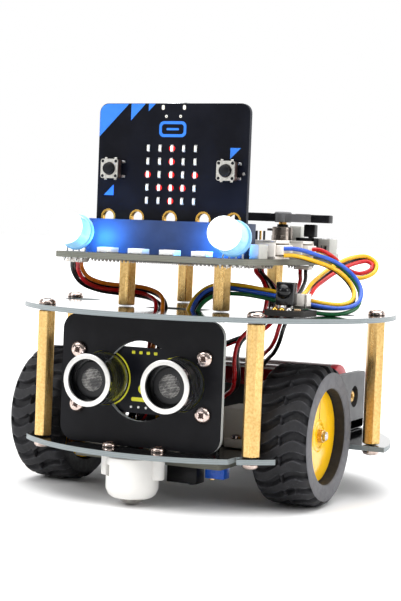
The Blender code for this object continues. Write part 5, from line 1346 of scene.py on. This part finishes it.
def make_button(label):
    node = f"button_{label}_body"
    low, high = span(node)
    centre = (low + high) / 2
    button = Piece(node + "_case", [node], slot="steel")
    # The case's sides take the shaded copy of the cover steel: painted shade.
    button.block((low.x + 0.1, low.y + 0.5, low.z + 0.1), (high.x - 0.1, high.y - 0.8, high.z - 0.1),
                 "button_side_shade", 0.3)
    button.block((low.x + 0.25, high.y - 1.0, low.z + 0.25), (high.x - 0.25, high.y, high.z - 0.25), "black",
                 0.2)
    for dx in (-1.7, 1.7):
        for end in (-1, 1):
            z = sorted((centre.z + end * 2.8, centre.z + end * 3.5))
            button.block((centre.x + dx - 0.45, low.y + 0.9, z[0]),
                         (centre.x + dx + 0.45, low.y + 1.3, z[1]), "button_metal", 0.12, 1)
    cover = rounded((low.x, low.z), (high.x, high.z), 0.7, 5)
    button.plate(cover, -(low.y + 0.55), -low.y, "button_metal", UPRIGHT,
                 [ring(2.05, 40, (centre.x, centre.z))])
    button.turned([(2.05, 0.0), (2.0, 0.5), (1.9, 0.5)],
                  facing((0, -1, 0), (centre.x, low.y + 0.55, centre.z)), "chip", 40)
    for dx in (-1, 1):
        for dz in (-1, 1):
            button.turned([(0.5, 0), (0.45, 0.12), (0.2, 0.18), (0, 0.18)],
                          facing((0, -1, 0), (centre.x + dx * 2.3, low.y, centre.z + dz * 2.3)), "black", 16)
            button.block((centre.x + dx * 3.4 - 0.55, high.y - 0.5, centre.z + dz * 2.25 - 0.4),
                         (centre.x + dx * 3.4 + 0.55, high.y + 0.25, centre.z + dz * 2.25 + 0.4), "silver",
                         0.12, 1)
    button.make()
    node = f"button_{label}_plunger"
    low, high = span(node)
    plunger = Piece(node + "_cap", [node], "button_" + label, "black")
    length = high.y - low.y
    plunger.turned([(0, 0), (1.72, 0), (1.75, 0.1), (1.75, length - 0.3), (1.6, length - 0.08),
                    (1.3, length), (0, length)],
                   facing((0, -1, 0), (centre.x, high.y, centre.z)), "black", 40)
    plunger.make()


def make_controller_back(back, top):
    parts = Piece("controller_rear_parts", slot="black")
    for x, z, width, height, deep, kind in ((-9.0, 103.0, 6.2, 6.2, 0.9, "chip"),
                                            (1.0, 104.5, 5.0, 5.0, 0.9, "chip"),
                                            (-17.5, 104.0, 3.2, 3.2, 0.9, "chip"),
                                            (12.5, 106.0, 2.2, 2.2, 0.8, "chip"),
                                            (-1.0, 97.0, 3.4, 2.6, 1.0, "silver"),
                                            (17.0, 103.0, 2.6, 1.6, 0.7, "tan"),
                                            (8.0, 98.0, 2.0, 1.2, 0.6, "tan"),
                                            (-14.0, 97.0, 1.6, 1.0, 0.6, "tan"),
                                            (-5.0, 110.0, 1.6, 1.0, 0.6, "tan"),
                                            (6.0, 110.0, 1.2, 1.8, 0.6, "chip")):
        parts.block((x - width / 2, back + 0.02, z - height / 2),
                    (x + width / 2, back + deep, z + height / 2), kind, 0.1, 1)
    parts.block((-21.5, back + 0.05, top - 7.5), (-13.7, back + 5.0, top - 0.6), "socket_white", 0.3)
    parts.block((-20.6, back + 0.6, top - 1.2), (-14.6, back + 4.4, top - 0.5), "chip", 0.1, 1)
    for x in (-18.6, -16.6):
        parts.rod((x, back + 2.4, top - 4.0), (x, back + 2.4, top - 0.7), 0.28, "gold", 8)
    parts.make()
    low, high = span("usb_socket")
    usb = Piece("usb_shell", ["usb_socket"], slot="steel")
    usb.block((low.x, low.y, low.z), (high.x, high.y, low.z + 0.6), "silver", 0.15)
    for span_y in ((low.y, low.y + 0.35), (high.y - 0.35, high.y)):
        usb.block((low.x + 0.2, span_y[0], low.z), (high.x - 0.2, span_y[1], high.z), "silver", 0.12)
    for span_x in ((low.x, low.x + 0.35), (high.x - 0.35, high.x)):
        usb.block((span_x[0], low.y + 0.1, low.z), (span_x[1], high.y - 0.1, high.z), "silver", 0.12)
    usb.block((low.x + 1.4, low.y + 0.9, low.z + 0.5), (high.x - 1.4, low.y + 1.5, high.z - 0.6), "chip",
              0.08, 1)
    usb.make()
    low, high = span("reset_button_body")
    centre = (low + high) / 2
    case = Piece("reset_button_case", ["reset_button_body"], slot="steel")
    cover = rounded((low.x, low.z), (high.x, high.z), 0.5, 4)
    case.plate(cover, -high.y, -low.y, "button_metal", UPRIGHT, [ring(1.2, 28, (centre.x, centre.z))])
    case.make()
    low, high = span("reset_button_cap")
    cap = Piece("reset_button_thumb", ["reset_button_cap"], "reset_button", "black")
    cap.turned([(0, 0), (0.88, 0), (0.9, 0.1), (0.9, high.y - low.y - 0.15), (0.75, high.y - low.y),
                (0, high.y - low.y)],
               facing((0, 1, 0), (centre.x, low.y, centre.z)), "black", 28)
    cap.make()


# ------------------------------------------------------------------ leads
# The middle of each bundle, in metres, from end to end.
ROUTES = {
    "line_sensor_lead": [
        (0.0340, -0.0225, 0.0776), (0.0375, -0.0205, 0.0776), (0.0413, -0.0150, 0.0762),
        (0.0455, -0.0085, 0.0740), (0.0497, -0.0055, 0.0703), (0.0527, -0.0062, 0.0662),
        (0.0535, -0.0100, 0.0626), (0.0508, -0.0140, 0.0609), (0.0462, -0.0170, 0.0608),
        (0.0410, -0.0190, 0.0615), (0.0350, -0.0205, 0.0630), (0.0273, -0.0212, 0.0644),
        (0.0194, -0.0210, 0.0653), (0.0130, -0.0212, 0.0652), (0.0088, -0.0225, 0.0635),
        (0.0063, -0.0250, 0.0600), (0.0055, -0.0275, 0.0550), (0.0050, -0.0300, 0.0480),
        (0.0040, -0.0320, 0.0400), (0.0015, -0.0330, 0.0310), (0.0, -0.0330, 0.0250),
        (0.0, -0.0330, 0.0205)],
    "ir_receiver_lead": [
        (0.0340, 0.0010, 0.0776), (0.0370, 0.0020, 0.0774), (0.0400, 0.0040, 0.0755),
        (0.0440, 0.0060, 0.0720), (0.0485, 0.0070, 0.0706), (0.0521, 0.0090, 0.0720),
        (0.0522, 0.0110, 0.0745), (0.0493, 0.0105, 0.0762), (0.0455, 0.0065, 0.0751),
        (0.0425, -0.0005, 0.0722), (0.0412, -0.0080, 0.0692), (0.0412, -0.0150, 0.0672),
        (0.0420, -0.0212, 0.0652), (0.0420, -0.0246, 0.0638)],
    "sonar_lead": [
        (-0.0295, -0.0385, 0.0728), (-0.0295, -0.0378, 0.0695), (-0.0283, -0.0350, 0.0661),
        (-0.0258, -0.0290, 0.0641), (-0.0215, -0.0235, 0.0634), (-0.0172, -0.0214, 0.0632),
        (-0.0120, -0.0214, 0.0624), (-0.0070, -0.0240, 0.0607), (-0.0045, -0.0275, 0.0575),
        (-0.0042, -0.0300, 0.0530), (-0.0045, -0.0320, 0.0470), (-0.0040, -0.0330, 0.0400),
        (-0.0025, -0.0345, 0.0345), (-0.0015, -0.0375, 0.0310), (-0.0010, -0.0405, 0.0303)],
    "motor_lead_right": [
        (0.0185, -0.0060, 0.0728), (0.0188, -0.0064, 0.0705), (0.0220, -0.0080, 0.0678),
        (0.0246, -0.0100, 0.0640), (0.0255, -0.0120, 0.0605), (0.0250, -0.0140, 0.0565),
        (0.0228, -0.0180, 0.0530), (0.0205, -0.0220, 0.0490), (0.0203, -0.0240, 0.0440),
        (0.0208, -0.0240, 0.0390), (0.0195, -0.0225, 0.0345), (0.0160, -0.0210, 0.0318),
        (0.0128, -0.0204, 0.0292), (0.0116, -0.0204, 0.0255), (0.0130, -0.0204, 0.0222),
        (0.0152, -0.0204, 0.0218)],
    "motor_lead_left": [
        (0.0185, -0.0025, 0.0728), (0.0190, -0.0028, 0.0702), (0.0235, -0.0050, 0.0670),
        (0.0268, -0.0080, 0.0635), (0.0275, -0.0110, 0.0595), (0.0265, -0.0125, 0.0560),
        (0.0220, -0.0120, 0.0520), (0.0130, -0.0110, 0.0480), (0.0030, -0.0120, 0.0435),
        (-0.0060, -0.0150, 0.0385), (-0.0110, -0.0185, 0.0330), (-0.0124, -0.0204, 0.0275),
        (-0.0126, -0.0204, 0.0240), (-0.0136, -0.0204, 0.0221), (-0.0152, -0.0204, 0.0218)],
    "battery_lead": [
        (0.0290, 0.0080, 0.0728), (0.0292, 0.0074, 0.0706), (0.0310, 0.0030, 0.0684),
        (0.0325, -0.0030, 0.0660), (0.0328, -0.0090, 0.0625), (0.0322, -0.0125, 0.0585),
        (0.0312, -0.0145, 0.0540), (0.0296, -0.0135, 0.0495), (0.0262, -0.0090, 0.0460),
        (0.0215, -0.0030, 0.0432), (0.0180, 0.0015, 0.0402), (0.0160, 0.0045, 0.0370),
        (0.0155, 0.0066, 0.0335)],
}
SQUARE = [(-1.05, -1.05), (1.05, -1.05), (1.05, 1.05), (-1.05, 1.05)]
TRIO = [(-0.9, -0.6), (0.9, -0.6), (0.0, 1.0)]
PAIR = [(-0.95, 0.0), (0.95, 0.0)]
LEAD_WIRES = {
    "line_sensor_lead": (SQUARE, (0, 1, 0), ("yellow", "black", "green", "blue")),
    "ir_receiver_lead": (TRIO, (0, 1, 0), ("yellow", "black", "red")),
    "sonar_lead": (SQUARE, (1, 0, 0), ("black", "orange", "red", "black")),
    "motor_lead_right": (PAIR, (0, 1, 0), ("red", "black")),
    "motor_lead_left": (PAIR, (0, 1, 0), ("black", "red")),
    "battery_lead": (PAIR, (1, 0, 0), ("red", "black")),
}


def smooth_route(points, samples=6):
    """A Catmull-Rom curve through the points, in millimetres."""
    points = [Vector(point) / MM for point in points]
    padded = [2 * points[0] - points[1]] + points + [2 * points[-1] - points[-2]]
    curve = []
    for before, start, end, after in zip(padded, padded[1:], padded[2:], padded[3:]):
        for step in range(samples):
            t = step / samples
            curve.append(0.5 * (2 * start + (end - before) * t
                                + (2 * before - 5 * start + 4 * end - after) * t ** 2
                                + (3 * start - before - 3 * end + after) * t ** 3))
    return curve + [points[-1]]


def lanes(route, offsets, first_side):
    """Side-by-side wires along a route; each wanders a little, and all gather again at the plugs."""
    curve = smooth_route(route)
    wires = [[] for _ in offsets]
    side = Vector(first_side)
    for i, point in enumerate(curve):
        ahead = (curve[min(i + 1, len(curve) - 1)] - curve[max(i - 1, 0)]).normalized()
        side = (side - ahead * side.dot(ahead)).normalized()
        up = ahead.cross(side)
        free = math.sin(math.pi * i / (len(curve) - 1))
        for k, (wire, (across, above)) in enumerate(zip(wires, offsets)):
            sway = 0.22 * free * math.sin(0.21 * i + 1.9 * k)
            lift = 0.22 * free * math.sin(0.17 * i + 2.6 * k + 1.0)
            wire.append(point + side * (across + sway) + up * (above + lift))
    return wires


def make_leads():
    leads = {name: Piece(name + "_wires", [name], slot="lead")
             for name in ("line_sensor_lead", "ir_receiver_lead", "sonar_lead", "motor_lead",
                          "battery_lead")}
    for name, route in ROUTES.items():
        offsets, first_side, colours = LEAD_WIRES[name]
        owner = next(lead for lead in leads if name.startswith(lead))
        for wire, colour in zip(lanes(route, offsets, first_side), colours):
            leads[owner].tube(wire, 0.66, "wire_" + colour, 12)
    under = CARRIER_LOW - 0.3
    plugs = {
        "line_sensor_lead": [((29.8, -25.4, 76.7), (34.6, -16.0, 79.7)),
                             ((-5.4, -35.0, 14.2), (5.4, -30.8, 21.0))],
        "ir_receiver_lead": [((29.8, -2.8, 76.7), (34.6, 4.8, 79.7)),
                             ((38.7, -29.2, 62.1), (44.1, -24.6, 65.2))],
        "sonar_lead": [((-32.4, -40.4, under - 1.3), (-26.6, -36.1, under)),
                       ((-6.0, -45.2, 28.2), (4.0, -40.4, 32.4))],
        "motor_lead": [((15.6, -7.9, under - 1.3), (21.4, -0.6, under))],
        "battery_lead": [((26.3, 6.1, under - 1.3), (31.7, 9.9, under)),
                         ((12.8, 5.6, 31.8), (18.2, 7.7, 34.4))],
    }
    for name, boxes in plugs.items():
        for low, high in boxes:
            leads[name].block(low, high, "socket_white", 0.25)
    for x in (-3.8, -1.3, 1.3, 3.8):
        leads["line_sensor_lead"].block((x - 0.8, -30.9, 15.0), (x + 0.8, -30.65, 18.6), "chip", 0.05, 1)
        leads["sonar_lead"].block((x - 1.8, -42.6, 32.3), (x - 0.2, -41.4, 32.5), "chip", 0.05, 1)
    for lead in leads.values():
        lead.make(50)


# ------------------------------------------------------------------ floor, light and camera
VIEW = {"azimuth": 24.843, "down": 2.633, "roll": 2.2355, "distance": 0.4974,
        "target": (-0.00312, -0.00144, 0.06013), "lens": 90.08, "sensor": 36.0}
FLOOR_REACH = 9
LAMP_GLOW = {"power": 0.035, "colour": (0.08, 0.36, 1.0), "place": (0.0205, -0.0425, 0.0800),
             "radius": 0.003}


def place_camera():
    azimuth, down, roll = (math.radians(VIEW[key]) for key in ("azimuth", "down", "roll"))
    back = Vector((math.sin(azimuth) * math.cos(down), -math.cos(azimuth) * math.cos(down), math.sin(down)))
    right = Vector((math.cos(azimuth), math.sin(azimuth), 0))
    up = back.cross(right)
    tilted_right = right * math.cos(roll) + up * math.sin(roll)
    tilted_up = up * math.cos(roll) - right * math.sin(roll)
    turn = Matrix((tilted_right, tilted_up, back)).transposed()
    data = bpy.data.cameras.new("camera")
    data.lens = VIEW["lens"]
    data.sensor_width = VIEW["sensor"]
    data.clip_start = 0.01
    camera = bpy.data.objects.new("camera", data)
    scene.collection.objects.link(camera)
    camera.matrix_world = Matrix.Translation(Vector(VIEW["target"])
                                             + back * VIEW["distance"]) @ turn.to_4x4()
    scene.camera = camera


def soft_light(name, place, target, size, power):
    data = bpy.data.lights.new(name, "AREA")
    data.shape = "RECTANGLE"
    data.size, data.size_y = size
    data.energy = power
    light = bpy.data.objects.new(name, data)
    scene.collection.objects.link(light)
    direction = Vector(place) - Vector(target)
    light.rotation_euler = direction.to_track_quat("Z", "Y").to_euler()
    light.location = place


def make_floor():
    """A pale sweep that carries on as bright as the room behind it, however far it is from the lights."""
    surface = Surface("studio_floor", (0.88, 0.88, 0.88), 0.6, specular=0.3)
    surface.mottle((0.9, 0.9, 0.9), 300.0, 0.5)
    surface.grain(1.5, 0.02, 0.02)
    away = surface.node("VectorMath", operation="LENGTH")
    surface.links.new(surface.node("TexCoord").outputs["Object"], away.inputs[0])
    surface.set("Emission Color", (1.0, 1.0, 1.0, 1.0))
    surface.links.new(surface.ramp(away.outputs["Value"], 0.15, 1.4, 0.0, 1.0),
                      surface.shader.inputs["Emission Strength"])
    mesh = bpy.data.meshes.new("studio_floor")
    reach = FLOOR_REACH
    mesh.from_pydata([(-reach, -reach, 0), (reach, -reach, 0), (reach, reach, 0), (-reach, reach, 0)], [],
                     [(0, 1, 2, 3)])
    mesh.materials.append(surface.done())
    floor = bpy.data.objects.new("studio_floor", mesh)
    scene.collection.objects.link(floor)


def make_world():
    """A pale room: a bright low band behind the car, softer above it and dimmer behind the camera."""
    world = bpy.data.worlds.new("studio")
    world.use_nodes = True
    scene.world = world
    nodes = Nodes(world.node_tree)
    x, y, z = nodes.split(nodes.node("TexCoord").outputs["Generated"])
    azimuth = math.radians(VIEW["azimuth"])
    behind = nodes.math("SUBTRACT", nodes.math("MULTIPLY", y, math.cos(azimuth)),
                        nodes.math("MULTIPLY", x, math.sin(azimuth)))
    band = nodes.math("MULTIPLY", nodes.ramp(z, 0.55, 0.2), nodes.ramp(behind, 0.0, 0.6))
    dome = nodes.ramp(z, 0.1, 0.8, 0.12, 0.7)
    light = nodes.math("MULTIPLY_ADD", band, 1.5, dome)
    seen = nodes.node("Mix", data_type="FLOAT")
    nodes.links.new(nodes.node("LightPath").outputs["Is Camera Ray"], seen.inputs["Factor"])
    nodes.links.new(light, seen.inputs["A"])
    seen.inputs["B"].default_value = 1.0
    background = world.node_tree.nodes["Background"]
    background.inputs["Color"].default_value = (1.0, 1.0, 1.0, 1.0)
    nodes.links.new(seen.outputs[0], background.inputs["Strength"])


def make_lamp_glow():
    """The blue light the two lamps throw on the connector behind them."""
    for label, side in SIDES:
        data = bpy.data.lights.new("lamp_glow_" + label, "POINT")
        data.energy = LAMP_GLOW["power"]
        data.color = LAMP_GLOW["colour"]
        data.shadow_soft_size = LAMP_GLOW["radius"]
        light = bpy.data.objects.new("lamp_glow_" + label, data)
        x, y, z = LAMP_GLOW["place"]
        light.location = (side * x, y, z)
        light.visible_glossy = False
        scene.collection.objects.link(light)


make_decks()
make_posts()
make_panel()
make_sonar()
for label, side in SIDES:
    make_tyre(label, side)
    make_hub(label, side)
    make_motor(label, side)
    make_lamp(label, side)
for end in CASTERS:
    make_caster(end)
make_battery()
make_line_sensor()
make_ir()
make_carrier()
make_side_parts()
make_controller()
make_leads()
make_floor()
soft_light("overhead", (0.0, 0.05, 0.95), (0, 0, 0), (1.3, 1.3), 17.0)
soft_light("key", (-0.55, -0.75, 0.60), (0, 0, 0.06), (0.45, 0.45), 4.5)
soft_light("side", (0.85, -0.10, 0.40), (0, 0, 0.06), (0.4, 0.4), 2.5)
make_world()
make_lamp_glow()
place_camera()
scene.view_settings.view_transform = "Standard"
